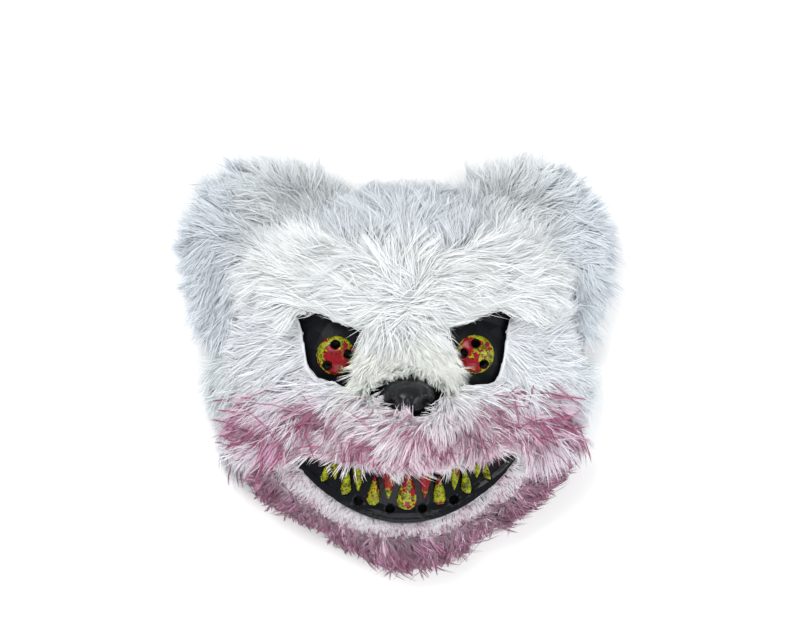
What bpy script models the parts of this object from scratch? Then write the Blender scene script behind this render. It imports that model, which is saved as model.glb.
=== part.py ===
"""Furry bear mask: a moulded black face shell under sewn plush panels, with plush ears,
painted eyes and teeth, a moulded nose and mouth, and an elastic head band.

The mask lies face up on its open back: +Z is the way the face looks, +Y is the crown,
and left and right are as seen from the front. Lengths are in metres.
"""

import math
import random

import bmesh
import bpy
import numpy as np
from mathutils import Vector

# The moulded shell under the fur.
SHELL_WIDTH = 0.233
SHELL_HEIGHT = 0.234
SHELL_DEPTH = 0.075
SHELL_WALL = 0.002
FORM_BLEND = 0.018
SHELL_SPOKES = 36
SHELL_RINGS = 15

# The plush: a backing glued over the shell, and locks of pile that stand on it.
GLUE_GAP = 0.0013
SEAM_GAP = 0.0010
BACKING = 0.004
FUR_FOOT = 0.003
SEEN_SEAM = 0.012

# The eyes, each a painted dome with peep holes over a hole in the shell.
EYE_RADIUS = 0.0130
EYE_BULGE = 0.0015
EYE_WALL = 0.002
EYE_HOLE_RADIUS = 0.0095
PEEP_HOLE_RADIUS = 0.0032
MOULDED_FIT = 0.0007

# The mouth, with its lip, gums, teeth and breathing holes.
MOUTH_WIDTH = 0.160
MOUTH_DROP = 0.0525
MOUTH_OPEN = 0.040
MOUTH_CORNER = -0.36
LIP_HEIGHT = 0.0055
LIP_BAND = 0.016
PLATE_WALL = 0.002
TOOTH_THICKNESS = 0.0045
TOOTH_FIT = 0.0006
BREATHING_HOLE_RADIUS = 0.0029

# The nose.
NOSE_WIDTH = 0.038
NOSE_HEIGHT = 0.0235
NOSE_RISE = 0.017
NOSE_WALL = 0.0022
NOSE_EDGE = 0.0012

# The ears.
EAR_EDGE = 0.0065
EAR_DISH = 0.011
EAR_PILE = 0.007
EAR_GLUE_GAP = 0.0017

# The elastic head band.
BAND_WIDTH = 0.020
BAND_THICKNESS = 0.0012
BAND_FIT = 0.0006
BAND_REACH_UP = 0.024
BAND_BEND = 0.010
BAND_UP = 0.10

# How far up the shell the middle of the whole mask lies, ears and chin hair included. The
# mask is set down with that middle at the origin.
BOX_MIDDLE_UP = 0.0080

HALF_WIDTH = SHELL_WIDTH / 2
HALF_HEIGHT = SHELL_HEIGHT / 2
PILE_FOOT = GLUE_GAP + BACKING
HALVINGS = 34
REACH = 0.4

# The head's form is a blend of ellipsoids. Columns: how far its middle lies out from the
# centre line, up from the middle and forward from the rim, then its half width, half
# height and half depth, all as shares of half the shell's width, half its height and its
# depth. A form off the centre line is made on both sides.
FORMS = {
    "skull": (0.00, 0.15, 0.00, 1.00, 0.84, 0.98),
    "jaw": (0.00, -0.27, 0.00, 0.93, 0.59, 0.82),
    "chin": (0.00, -0.66, 0.00, 0.42, 0.34, 0.76),
    "cheek": (0.52, -0.32, 0.37, 0.36, 0.36, 0.50),
    "brow": (0.34, 0.52, 0.58, 0.42, 0.24, 0.38),
    "eyeball": (0.392, 0.150, 0.78, 0.15, 0.15, 0.20),
    "muzzle": (0.00, -0.21, 0.67, 0.37, 0.30, 0.68),
    "lower_lip": (0.00, -0.52, 0.45, 0.54, 0.29, 0.52),
}

# Marks on the right half of the face where seams meet, as seen from the front. Columns:
# out from the centre line and up, as shares of the shell's half width and half height.
SEAM_MARKS = {
    "brow_foot": (0.00, 0.34),
    "brow_middle": (0.00, 0.68),
    "brow_rise": (0.21, 0.74),
    "brow_crest": (0.44, 0.81),
    "brow_corner": (0.66, 0.80),
    "brow_end": (0.85, 0.62),
    "ear_seam": (0.50, 0.95),
    "temple": (0.89, 0.42),
    "cheek_upper": (0.935, 0.19),
    "cheek_lower": (0.96, -0.16),
    "jowl": (0.90, -0.42),
}

# Marks round the rim, in degrees from the middle of the right side.
RIM_MARKS = {"rim_crown": 90.0, "rim_ear": 75.0, "rim_lobe": 8.5, "rim_jowl": -27.0}

# The eye's middle, in the same shares, and the corners of the gap that the plush leaves
# round it, in eye radii out and up from there.
EYE_PLACE = (0.392, 0.150)
EYE_MARKS = {
    "eye_inner_top": (-1.35, 1.30),
    "eye_outer_top": (1.95, 2.00),
    "eye_outer_foot": (1.15, -1.45),
    "eye_inner_foot": (-0.95, -1.50),
}

# The nose's middle, in the same shares, and marks round its foot, in half widths out and
# half heights up from there.
NOSE_PLACE = (0.0, -0.066)
NOSE_MARKS = {
    "nose_top": (0.00, 1.12),
    "nose_shoulder": (0.76, 0.86),
    "nose_side": (1.12, 0.05),
    "nose_under": (0.80, -0.95),
    "nose_foot": (0.00, -1.20),
}

# The seams and edges between marks, with how many cells of pile lie along each stretch.
LINES = {
    "brow_seam": ("brow_foot", 4, "brow_middle"),
    "brow_arc": ("brow_middle", 2, "brow_rise", 2, "brow_crest", 2, "brow_corner"),
    "brow_tail": ("brow_corner", 2, "brow_end"),
    "brow_under": ("brow_foot", 3, "eye_inner_top"),
    "eye_over": ("eye_inner_top", 5, "eye_outer_top"),
    "eye_inner": ("eye_inner_foot", 4, "eye_inner_top"),
    "eye_below": ("eye_inner_foot", 2, "eye_outer_foot"),
    "eye_outer": ("eye_outer_foot", 4, "eye_outer_top"),
    "cheek_fold": ("eye_outer_foot", 4, "cheek_upper"),
    "crow_foot": ("eye_outer_top", 4, "brow_end"),
    "nose_gap": ("nose_side", 2, "eye_inner_foot"),
    "nose_over": ("nose_top", 2, "nose_shoulder", 1, "nose_side"),
    "nose_below": ("nose_foot", 3, "nose_under", 1, "nose_side"),
    "smile_fold": ("mouth_corner", 6, "eye_inner_foot"),
    "mouth_end": ("mouth_corner", 6, "jowl"),
    "chin_end": ("mouth_corner", 3, "jowl"),
    "ear_root_top": ("brow_corner", 2, "ear_seam", 3, "rim_ear"),
    "ear_root_side": ("cheek_upper", 2, "temple", 2, "brow_end"),
    "side_seam": ("jowl", 3, "cheek_lower", 3, "cheek_upper"),
    "jowl_seam": ("rim_jowl", 4, "jowl"),
    "lobe_seam": ("rim_lobe", 4, "cheek_upper"),
}

# Plush panels. Columns: the locks' rise above the backing, how many cells they lean along
# the panel's u and v, and whether a lock is full at its middle.
PANELS = {
    "forehead": (0.011, 0.0, -0.80, True),
    "brow": (0.012, 0.75, 0.10, True),
    "bridge": (0.006, 0.0, 0.50, False),
    "muzzle": (0.007, 0.0, -0.60, False),
    "cheek": (0.010, 0.45, -0.70, False),
    "side": (0.014, 0.0, -0.60, False),
    "jaw": (0.0105, 0.0, -0.80, True),
}

# Peep holes in an eye, in eye radii out and up from its middle.
PEEP_HOLES = {"upper": (0.02, 0.55), "outer": (0.44, -0.50), "inner": (-0.62, 0.06)}

# Teeth on the right half. Columns: how far out the root and the tip lie, as shares of half
# the mouth's width, how far up the mouth the root and the tip lie, as shares of its
# opening there, and the root's width as a share of the mouth's width.
TEETH = {
    "lower_middle": (0.000, 0.010, 0.31, 0.93, 0.086),
    "lower_second": (0.275, 0.262, 0.31, 0.80, 0.056),
    "lower_third": (0.500, 0.480, 0.32, 0.84, 0.044),
    "lower_back": (0.670, 0.650, 0.36, 0.84, 0.032),
    "upper_first": (0.145, 0.150, 0.93, 0.42, 0.060),
    "upper_second": (0.394, 0.394, 0.93, 0.44, 0.048),
    "upper_back": (0.585, 0.580, 0.93, 0.50, 0.036),
}

# A tooth's taper. Columns: how far along from root to tip, and its width there as a share.
TOOTH_TAPER = ((0.0, 0.80), (0.12, 1.0), (0.42, 0.84), (0.76, 0.45), (1.0, 0.10))

BREATHING_HOLES = {"near": 0.132, "far": 0.395}
BREATHING_HOLE_UP = 0.255

# The mouth plate from its foot to its top. Columns: how far up the mouth, how far it
# stands out in lip heights, and how much the gum swells between the teeth.
MOUTH_PROFILE = {
    "foot": (0.025, 0.30, 0.0),
    "lip_under": (0.060, 0.80, 0.0),
    "lip_crest": (0.115, 1.00, 0.0),
    "lip_back": (0.175, 0.70, 0.0),
    "gum_ridge": (0.225, 0.62, 0.25),
    "gum_foot": (0.285, 0.18, 0.0),
    "gum_low": (0.46, 0.18, 0.0),
    "gum_high": (0.70, 0.18, 0.0),
    "top": (0.975, 0.18, 0.0),
}
GUM_WAVES = 13

# An ear's outer edge from the crown to the lobe, one row for each point. Columns: out, up
# and forward, as shares of the shell's half width, half height and depth.
EAR_OUTLINE = {
    "crown": (0.43, 1.135, 0.16),
    "upper": (0.62, 1.190, 0.24),
    "top": (0.83, 1.185, 0.30),
    "corner": (1.02, 1.085, 0.32),
    "outer": (1.15, 0.90, 0.32),
    "side": (1.19, 0.68, 0.31),
    "lower": (1.165, 0.45, 0.31),
    "lobe": (1.10, 0.225, 0.32),
}
EAR_FACE = (0.0, 0.20, 0.42, 0.64, 0.84)

FUR_WHITE = (0.80, 0.83, 0.86)
FUR_STAINED = (0.40, 0.20, 0.30)
PLASTIC_BLACK = (0.012, 0.013, 0.016)
PAINT_GREEN = (0.38, 0.46, 0.02)
ELASTIC_WHITE = (0.75, 0.75, 0.74)


def ellipsoid_distance(points, middle, radii):
    """About how far points lie outside an ellipsoid."""
    away = points - middle
    near = np.linalg.norm(away / radii, axis=1)
    steep = np.linalg.norm(away / radii**2, axis=1)
    return near * (near - 1) / np.maximum(steep, 1e-6)


def blended(a, b):
    """The smooth union of two distances."""
    share = np.clip(0.5 + 0.5 * (b - a) / FORM_BLEND, 0, 1)
    return b + (a - b) * share - FORM_BLEND * share * (1 - share)


def head_distance(points):
    """About how far points lie outside the shell's outer face."""
    unit = np.array([HALF_WIDTH, HALF_HEIGHT, SHELL_DEPTH])
    folded = np.column_stack([np.abs(points[:, 0]), points[:, 1:]])
    whole = None
    for out, up, forward, *radii in FORMS.values():
        middle = np.array([out, up, forward]) * unit
        found = ellipsoid_distance(folded, middle, np.array(radii) * unit)
        whole = found if whole is None else blended(whole, found)
    return whole


def raised(directions, levels):
    """Where rays from the rim's middle reach the given heights over the shell."""
    near, far = np.zeros(len(directions)), np.full(len(directions), REACH)
    for _ in range(HALVINGS):
        middle = (near + far) / 2
        under = head_distance(directions * middle[:, None]) < levels
        near, far = np.where(under, middle, near), np.where(under, far, middle)
    return directions * near[:, None]


def chart_of(points):
    """Points as chart places: the face's pole is at 0, 0 and the rim at distance 1."""
    sideways = np.linalg.norm(points[:, :2], axis=1)
    tilt = np.arctan2(sideways, points[:, 2]) / (math.pi / 2)
    return points[:, :2] / np.maximum(sideways, 1e-9)[:, None] * tilt[:, None]


def on_head(chart, level):
    """The points over chart places at a height, or at heights, above the shell."""
    chart = np.asarray(chart, float)
    flat = chart.reshape(-1, 2)
    tilt = np.linalg.norm(flat, axis=1)
    sideways = flat / np.maximum(tilt, 1e-9)[:, None]
    turned = np.minimum(tilt, 1) * math.pi / 2
    directions = np.column_stack([sideways * np.sin(turned)[:, None], np.cos(turned)])
    levels = np.broadcast_to(np.asarray(level, float), chart.shape[:-1]).ravel()
    return raised(directions, levels).reshape(chart.shape[:-1] + (3,))


def seen_from_front(x, y, level):
    """The chart places under points seen from the front, at a height above the shell."""
    x, y = np.broadcast_arrays(np.asarray(x, float), np.asarray(y, float))
    flat_x, flat_y = x.ravel(), y.ravel()
    low, high = np.zeros(len(flat_x)), np.full(len(flat_x), REACH)
    for _ in range(HALVINGS):
        middle = (low + high) / 2
        under = head_distance(np.column_stack([flat_x, flat_y, middle])) < level
        low, high = np.where(under, middle, low), np.where(under, high, middle)
    found = np.column_stack([flat_x, flat_y, np.maximum(low, FUR_FOOT)])
    return chart_of(found).reshape(x.shape + (2,))


def rim_places(degrees):
    """The chart places round the head where the plush ends, a little above the floor."""
    angles = np.radians(np.atleast_1d(degrees))
    across = np.column_stack([np.cos(angles), np.sin(angles)])
    rim = on_head(across, PILE_FOOT)
    rim[:, 2] = FUR_FOOT
    return chart_of(rim)


def mouth_edge(share, up):
    """A point of the mouth as seen from the front: share runs from -1 to 1 across it, and
    up from 0 at the lower lip's foot to 1 at the upper lip."""
    share = np.asarray(share, float)
    corner = MOUTH_CORNER * HALF_HEIGHT
    lower = corner - MOUTH_DROP * (1 - np.abs(share) ** 2.1)
    upper = corner - (MOUTH_DROP - MOUTH_OPEN) * (1 - np.abs(share) ** 2)
    return share * MOUTH_WIDTH / 2, lower + (upper - lower) * up


def chin_line(share):
    """The seam under the short plush of the chin, from -1 to 1 across, seen from the front."""
    out, up = SEAM_MARKS["jowl"]
    foot = mouth_edge(0, 0)[1] - LIP_BAND
    bend = np.abs(share) ** 2.3
    return share * out * HALF_WIDTH, foot + (up * HALF_HEIGHT - foot) * bend


def right_marks():
    """Chart places of the named marks on the right half."""
    marks = {}
    for name, (out, up) in SEAM_MARKS.items():
        marks[name] = seen_from_front(out * HALF_WIDTH, up * HALF_HEIGHT, SEEN_SEAM)
    for name, degrees in RIM_MARKS.items():
        marks[name] = rim_places(degrees)[0]
    for table, place, size in (
        (EYE_MARKS, EYE_PLACE, (EYE_RADIUS, EYE_RADIUS)),
        (NOSE_MARKS, NOSE_PLACE, (NOSE_WIDTH / 2, NOSE_HEIGHT / 2)),
    ):
        for name, (out, up) in table.items():
            x = place[0] * HALF_WIDTH + out * size[0]
            y = place[1] * HALF_HEIGHT + up * size[1]
            marks[name] = seen_from_front(x, y, PILE_FOOT)
    corner_x, corner_y = mouth_edge(1, 1)
    marks["mouth_corner"] = seen_from_front(corner_x, corner_y, PILE_FOOT)
    return marks


def walked(marks, name):
    """The chart places at the cells' corners along a named line."""
    steps = LINES[name]
    places = [marks[steps[0]]]
    for start, cells, end in zip(steps[0::2], steps[1::2], steps[2::2], strict=False):
        for k in range(1, cells + 1):
            places.append(marks[start] + (marks[end] - marks[start]) * k / cells)
    return np.array(places)


def joined(*lines):
    """Lines of chart places that follow one another, as one line."""
    whole = list(lines[0])
    for line in lines[1:]:
        whole += list(line[1:])
    return np.array(whole)


def across(line):
    """The same line on the other half of the face, walked the other way."""
    return (line * np.array([-1.0, 1.0]))[::-1]


def filled(foot, top, left, right):
    """The chart places of a panel's cell corners, between its four edges. Foot and top run
    along u, left and right along v."""
    u = np.linspace(0, 1, len(foot))[:, None, None]
    v = np.linspace(0, 1, len(left))[None, :, None]
    between = (1 - v) * foot[:, None] + v * top[:, None]
    between = between + (1 - u) * left[None, :] + u * right[None, :]
    corners = (1 - u) * (1 - v) * foot[0] + u * (1 - v) * foot[-1]
    return between - corners - (1 - u) * v * top[0] - u * v * top[-1]


class Patchwork:
    """A panel of one or more grids of chart places that share the corners where they meet,
    with its open edges drawn in by half of the gap at a seam."""

    def __init__(self, grids):
        self.numbers = {}
        self.grids = [np.array(grid, float) for grid in grids]
        self.corners = [
            [[self.number(place) for place in row] for row in grid] for grid in self.grids
        ]
        self.places = np.array(list(self.numbers))
        self.cells = []
        for which, rows in enumerate(self.corners):
            for i in range(len(rows) - 1):
                for j in range(len(rows[0]) - 1):
                    ring = (rows[i][j], rows[i + 1][j], rows[i + 1][j + 1], rows[i][j + 1])
                    self.cells.append((which, i, j, ring))
        walks = {}
        for *_, ring in self.cells:
            for a, b in zip(ring, ring[1:] + ring[:1], strict=True):
                walks[a, b] = True
        self.edges = [(a, b) for a, b in walks if (b, a) not in walks]
        self.draw_in()

    def number(self, place):
        """The number of a corner, the same for every grid that has it."""
        key = tuple(round(float(c), 7) for c in place)
        return self.numbers.setdefault(key, len(self.numbers))

    def draw_in(self):
        """Move the corners on open edges a little toward the panel's inside."""
        points = on_head(self.places, PILE_FOOT)
        outer = {a for edge in self.edges for a in edge}
        moved = self.places.copy()
        for corner in outer:
            near = [c for *_, ring in self.cells if corner in ring for c in ring]
            inner = [c for c in near if c not in outer] or [c for c in near if c != corner]
            goal = self.places[inner].mean(0)
            width = np.linalg.norm(points[inner].mean(0) - points[corner])
            share = min(SEAM_GAP / 2 / max(width, 1e-6) * 1.3, 0.4)
            moved[corner] = self.places[corner] + (goal - self.places[corner]) * share
        self.places = moved
        self.grids = [moved[np.array(rows)] for rows in self.corners]

    def slab(self, under, over):
        """A closed shape between two heights, and the upper face of each cell."""
        shape = bmesh.new()
        low = [shape.verts.new(p) for p in on_head(self.places, under)]
        high = [shape.verts.new(p) for p in on_head(self.places, over)]
        tops = []
        for which, i, j, ring in self.cells:
            tops.append((which, i, j, shape.faces.new([high[c] for c in ring])))
            shape.faces.new([low[c] for c in reversed(ring)])
        for a, b in self.edges:
            shape.faces.new((high[b], high[a], low[a], low[b]))
        return shape, tops


def sampled(grid, i, j):
    """A place of a grid between its corners, carried on straight past its edges."""
    a = min(max(int(math.floor(i)), 0), grid.shape[0] - 2)
    b = min(max(int(math.floor(j)), 0), grid.shape[1] - 2)
    s, t = i - a, j - b
    near = grid[a, b] * (1 - t) + grid[a, b + 1] * t
    far = grid[a + 1, b] * (1 - t) + grid[a + 1, b + 1] * t
    return near * (1 - s) + far * s


def paint(name, colour, roughness, metallic=0.0):
    """A material for one node."""
    material = bpy.data.materials.new(name)
    material.use_nodes = True
    shader = material.node_tree.nodes["Principled BSDF"]
    shader.inputs["Base Color"].default_value = (*colour, 1)
    shader.inputs["Roughness"].default_value = roughness
    shader.inputs["Metallic"].default_value = metallic
    return material


def finished(name, shape, material, triangles=False):
    """An object of a closed mesh, with its faces turned outward, set down on the origin. The
    shell and the plush are split into triangles, so that the thin gap between them is the
    same however their bent faces are read."""
    if triangles:
        bmesh.ops.triangulate(shape, faces=shape.faces)
    bmesh.ops.translate(shape, verts=shape.verts, vec=(0, -BOX_MIDDLE_UP, 0))
    bmesh.ops.recalc_face_normals(shape, faces=shape.faces)
    if shape.calc_volume(signed=True) < 0:
        bmesh.ops.reverse_faces(shape, faces=shape.faces)
    mesh = bpy.data.meshes.new(name)
    shape.to_mesh(mesh)
    shape.free()
    made = bpy.data.objects.new(name, mesh)
    bpy.context.scene.collection.objects.link(made)
    mesh.materials.append(material)
    return made


def slab(under, over):
    """A closed shape between two grids of points, and the faces of its upper side."""
    shape = bmesh.new()
    low = [[shape.verts.new(p) for p in row] for row in under]
    high = [[shape.verts.new(p) for p in row] for row in over]
    rows, columns = len(low), len(low[0])
    tops = {}
    for i in range(rows - 1):
        for j in range(columns - 1):
            tops[i, j] = shape.faces.new(
                (high[i][j], high[i + 1][j], high[i + 1][j + 1], high[i][j + 1])
            )
            shape.faces.new((low[i][j], low[i][j + 1], low[i + 1][j + 1], low[i + 1][j]))
    for i in range(rows - 1):
        for j in (0, columns - 1):
            shape.faces.new((low[i][j], low[i + 1][j], high[i + 1][j], high[i][j]))
    for j in range(columns - 1):
        for i in (0, rows - 1):
            shape.faces.new((low[i][j], low[i][j + 1], high[i][j + 1], high[i][j]))
    return shape, tops


def grow_lock(shape, face, tip, full):
    """Replace a face by a lock of pile that tapers to its tip, and is full at its middle."""
    ring = list(face.verts)
    middle = sum((v.co for v in ring), Vector()) / len(ring)
    shape.faces.remove(face)
    if full:
        halfway = middle.lerp(tip, 0.55)
        waist = [shape.verts.new(halfway + (v.co - middle) * 0.62) for v in ring]
        for k in range(len(ring)):
            n = (k + 1) % len(ring)
            shape.faces.new((ring[k], ring[n], waist[n], waist[k]))
        ring = waist
    point = shape.verts.new(tip)
    for k in range(len(ring)):
        shape.faces.new((ring[k], ring[(k + 1) % len(ring)], point))


def plush_panel(name, kind, grids, colour):
    """A plush panel over grids of chart places, with a lock of pile on each cell."""
    rise, lean_u, lean_v, full = PANELS[kind]
    chance = random.Random(kind)
    work = Patchwork(grids)
    shape, tops = work.slab(GLUE_GAP, PILE_FOOT)
    open_ends = {a for edge in work.edges for a in edge}
    for which, i, j, face in tops:
        grid = work.grids[which]
        corners = work.corners[which]
        ahead_u = min(max(i + (1 if lean_u > 0 else 0), 0), len(corners) - 1)
        ahead_v = min(max(j + (1 if lean_v > 0 else 0), 0), len(corners[0]) - 1)
        beside = {corners[ahead_u][j], corners[ahead_u][j + 1]} <= open_ends
        below = {corners[i][ahead_v], corners[i + 1][ahead_v]} <= open_ends
        u = i + 0.5 + lean_u * (0.4 if beside else 1) + chance.uniform(-0.06, 0.06)
        v = j + 0.5 + lean_v * (0.4 if below else 1) + chance.uniform(-0.06, 0.06)
        at = sampled(grid, u, v)
        at = at / max(1, np.linalg.norm(at) / 0.985)
        level = PILE_FOOT + rise * chance.uniform(0.8, 1)
        grow_lock(shape, face, Vector(on_head(at[None], level)[0]), full)
    return finished(name, shape, paint(name, colour, 0.9), triangles=True)


def lip_plush(chin, lip, ends):
    """The short plush between the lower lip and the chin's seam."""
    work = Patchwork([filled(chin, lip, ends[0], ends[1])])
    over = np.full(len(work.places), PILE_FOOT + 0.0015)
    over[list({a for edge in work.edges for a in edge})] = PILE_FOOT
    shape, _ = work.slab(GLUE_GAP, over)
    return finished("chin_plush", shape, paint("chin_plush", FUR_WHITE, 0.9), triangles=True)


def face_shell():
    """The hollow shell, with its rim flat on the floor and holes behind eyes and mouth."""
    shape = bmesh.new()
    angles = np.arange(SHELL_SPOKES) * 2 * math.pi / SHELL_SPOKES
    spokes = np.column_stack([np.cos(angles), np.sin(angles)])
    shares = np.arange(1, SHELL_RINGS + 1) / SHELL_RINGS
    chart = shares[:, None, None] * spokes[None]
    skins = []
    for level in (0.0, -SHELL_WALL):
        pole = shape.verts.new(on_head(np.zeros((1, 2)), level)[0])
        rings = [[shape.verts.new(p) for p in ring] for ring in on_head(chart, level)]
        for k in range(SHELL_SPOKES):
            n = (k + 1) % SHELL_SPOKES
            shape.faces.new((pole, rings[0][k], rings[0][n]))
            for inner, outer in zip(rings, rings[1:], strict=False):
                shape.faces.new((inner[k], outer[k], outer[n], inner[n]))
        skins.append(rings[-1])
    for k in range(SHELL_SPOKES):
        n = (k + 1) % SHELL_SPOKES
        shape.faces.new((skins[0][k], skins[0][n], skins[1][n], skins[1][k]))
    for v in skins[0] + skins[1]:
        v.co.z = 0
    shell = finished("face_shell", shape, paint("face_shell", PLASTIC_BLACK, 0.35), triangles=True)
    for side in (-1, 1):
        x, y = side * EYE_PLACE[0] * HALF_WIDTH, EYE_PLACE[1] * HALF_HEIGHT
        cut(shell, upright_post(f"eye_cut_{side}", x, y, EYE_HOLE_RADIUS, 16))
    shares = np.linspace(-0.90, 0.90, 15)
    outline = [mouth_edge(s, 0.16) for s in shares] + [mouth_edge(s, 0.90) for s in shares[::-1]]
    cut(shell, upright_prism("mouth_cut", outline))
    return shell


def upright_prism(name, outline):
    """A tall cutting prism over an outline seen from the front."""
    shape = bmesh.new()
    foot = [shape.verts.new((x, y, SHELL_DEPTH * 0.4)) for x, y in outline]
    top = [shape.verts.new((x, y, SHELL_DEPTH * 2)) for x, y in outline]
    shape.faces.new(foot[::-1])
    shape.faces.new(top)
    for k in range(len(outline)):
        n = (k + 1) % len(outline)
        shape.faces.new((foot[k], foot[n], top[n], top[k]))
    cutter = finished(name, shape, paint(name, PLASTIC_BLACK, 0.5))
    cutter.hide_render = True
    cutter.display_type = "WIRE"
    return cutter


def upright_post(name, x, y, radius, sides):
    """A tall round cutting post at a place seen from the front."""
    turns = [2 * math.pi * (k + 0.5) / sides for k in range(sides)]
    ring = [(x + radius * math.cos(a), y + radius * math.sin(a)) for a in turns]
    return upright_prism(name, ring)


def cut(target, cutter):
    """Cut one object from another."""
    modifier = target.modifiers.new(cutter.name, "BOOLEAN")
    modifier.operation = "DIFFERENCE"
    modifier.solver = "EXACT"
    modifier.object = cutter


def round_pad(name, middle, size, stations, under, over, spokes, material):
    """A round piece over the shell. Stations are shares of its half size, from the middle
    to the edge, and under and over give its two faces' heights at a share and an angle."""
    shape = bmesh.new()
    angles = np.arange(spokes) * 2 * math.pi / spokes
    skins = []
    for height in (under, over):
        crest = height(0.0, 0.0)
        pole_at = seen_from_front([middle[0]], [middle[1]], crest)
        pole = shape.verts.new(on_head(pole_at, crest)[0])
        rings = []
        for share in stations:
            x = middle[0] + share * size[0] * np.cos(angles)
            y = middle[1] + share * size[1] * np.sin(angles)
            levels = np.array([height(share, a) for a in angles])
            ring = on_head(seen_from_front(x, y, levels), levels)
            rings.append([shape.verts.new(p) for p in ring])
        for k in range(spokes):
            n = (k + 1) % spokes
            shape.faces.new((pole, rings[0][k], rings[0][n]))
            for inner, outer in zip(rings, rings[1:], strict=False):
                shape.faces.new((inner[k], outer[k], outer[n], inner[n]))
        skins.append(rings[-1])
    for k in range(spokes):
        n = (k + 1) % spokes
        shape.faces.new((skins[0][k], skins[0][n], skins[1][n], skins[1][k]))
    return finished(name, shape, material)


def eye(side, name):
    """A painted eye dome with peep holes."""
    middle = (side * EYE_PLACE[0] * HALF_WIDTH, EYE_PLACE[1] * HALF_HEIGHT)

    def under(share, _):
        return MOULDED_FIT + EYE_BULGE * (1 - share**2)

    def over(share, _):
        return MOULDED_FIT + EYE_BULGE * (1 - share**2) + EYE_WALL * (1 - 0.45 * share**6)

    stations = (0.45, 0.82, 1.0)
    size = (EYE_RADIUS, EYE_RADIUS)
    made = round_pad(name, middle, size, stations, under, over, 20, paint(name, PAINT_GREEN, 0.3))
    for hole, (out, up) in PEEP_HOLES.items():
        x, y = middle[0] + side * out * EYE_RADIUS, middle[1] + up * EYE_RADIUS
        cut(made, upright_post(f"{name}_{hole}", x, y, PEEP_HOLE_RADIUS, 10))
    return made


def nose():
    """The moulded nose, hollow, with a domed top, two wings and nostrils."""
    middle = (NOSE_PLACE[0] * HALF_WIDTH, NOSE_PLACE[1] * HALF_HEIGHT)
    hollow_reach = 1 - NOSE_WALL / (NOSE_HEIGHT / 2)

    def dome(share, angle, rise):
        crown = rise * max(0.0, 1 - share**3.2) ** 0.6
        low = max(0.0, -math.sin(angle))
        cleft = 0.20 * math.exp(-((math.cos(angle) / 0.22) ** 2)) * low
        nostril = math.exp(-(((abs(math.cos(angle)) - 0.72) / 0.25) ** 2)) * low
        nostril *= 0.34 * math.exp(-(((share - 0.72) / 0.22) ** 2))
        return crown * (1 - cleft * share - nostril)

    def under(share, angle):
        return MOULDED_FIT + dome(share / hollow_reach, angle, NOSE_RISE - NOSE_WALL)

    def over(share, angle):
        return max(MOULDED_FIT + NOSE_EDGE, dome(share, angle, NOSE_RISE))

    stations = (0.25, 0.50, 0.72, 0.88, 1.0)
    size = (NOSE_WIDTH / 2, NOSE_HEIGHT / 2)
    return round_pad("nose", middle, size, stations, under, over, 20, paint("nose", PLASTIC_BLACK, 0.4))


def mouth_plate():
    """The moulded mouth: the rolled lower lip, the gums and the plate behind the teeth."""
    shares = np.linspace(-0.985, 0.985, 24)
    rows = []
    levels = []
    for up, height, swell in MOUTH_PROFILE.values():
        x, y = mouth_edge(shares, up)
        rows.append(seen_from_front(x, y, PILE_FOOT))
        wave = 0.5 - 0.5 * np.cos(math.pi * GUM_WAVES * (shares + 1) / 2 * 2)
        narrow = np.clip((1 - np.abs(shares)) / 0.12, 0.25, 1)
        levels.append(PLATE_WALL + MOULDED_FIT + LIP_HEIGHT * (height + swell * wave) * narrow)
    places = np.array(rows)
    shape, _ = slab(on_head(places, MOULDED_FIT), on_head(places, np.array(levels)))
    made = finished("mouth", shape, paint("mouth", PLASTIC_BLACK, 0.2))
    for name, share in BREATHING_HOLES.items():
        for side in (-1, 1):
            x, y = mouth_edge(side * share, BREATHING_HOLE_UP)
            post = upright_post(f"breathing_{name}_{side}", x, y, BREATHING_HOLE_RADIUS, 12)
            cut(made, post)
    return made


def tooth(name, side, row):
    """A tooth that stands on the gum and tapers to its tip."""
    root_out, tip_out, root_up, tip_up, width = row
    foot_level = PLATE_WALL + MOULDED_FIT + LIP_HEIGHT * MOUTH_PROFILE["gum_foot"][1] + TOOTH_FIT
    root = mouth_edge(side * root_out, root_up)
    tip = mouth_edge(side * tip_out, tip_up)
    run = np.array([tip[0] - root[0], tip[1] - root[1]])
    turn = np.array([-run[1], run[0]]) / np.linalg.norm(run)
    half = width * MOUTH_WIDTH / 2
    places, under, over = [], [], []
    for along, wide in TOOTH_TAPER:
        row_places, row_over = [], []
        for out in (-1.0, -0.45, 0.45, 1.0):
            at = np.array(root) + run * along + turn * half * wide * out
            row_places.append(at)
            body = TOOTH_THICKNESS * (0.35 + 0.65 * wide) * (1 - 0.75 * out**2)
            row_over.append(foot_level + body)
        places.append(row_places)
        over.append(row_over)
    places = np.array(places)
    chart = seen_from_front(places[..., 0], places[..., 1], PILE_FOOT)
    shape, _ = slab(on_head(chart, foot_level), on_head(chart, np.array(over)))
    return finished(name, shape, paint(name, PAINT_GREEN, 0.3))


def smooth_walk(points, count):
    """Points spread evenly along a smooth line through some points."""
    points = np.array(points, float)
    ends = np.vstack([2 * points[0] - points[1], points, 2 * points[-1] - points[-2]])
    fine = []
    for a, b, c, d in zip(ends, ends[1:], ends[2:], ends[3:], strict=False):
        for t in np.linspace(0, 1, 12, endpoint=False):
            fine.append(
                0.5 * (2 * b + (c - a) * t + (2 * a - 5 * b + 4 * c - d) * t**2
                       + (3 * b - a - 3 * c + d) * t**3)
            )
    fine = np.array(fine + [points[-1]])
    length = np.concatenate([[0], np.cumsum(np.linalg.norm(np.diff(fine, axis=0), axis=1))])
    at = np.linspace(0, length[-1], count)
    return np.column_stack([np.interp(at, length, fine[:, k]) for k in range(fine.shape[1])])


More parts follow.
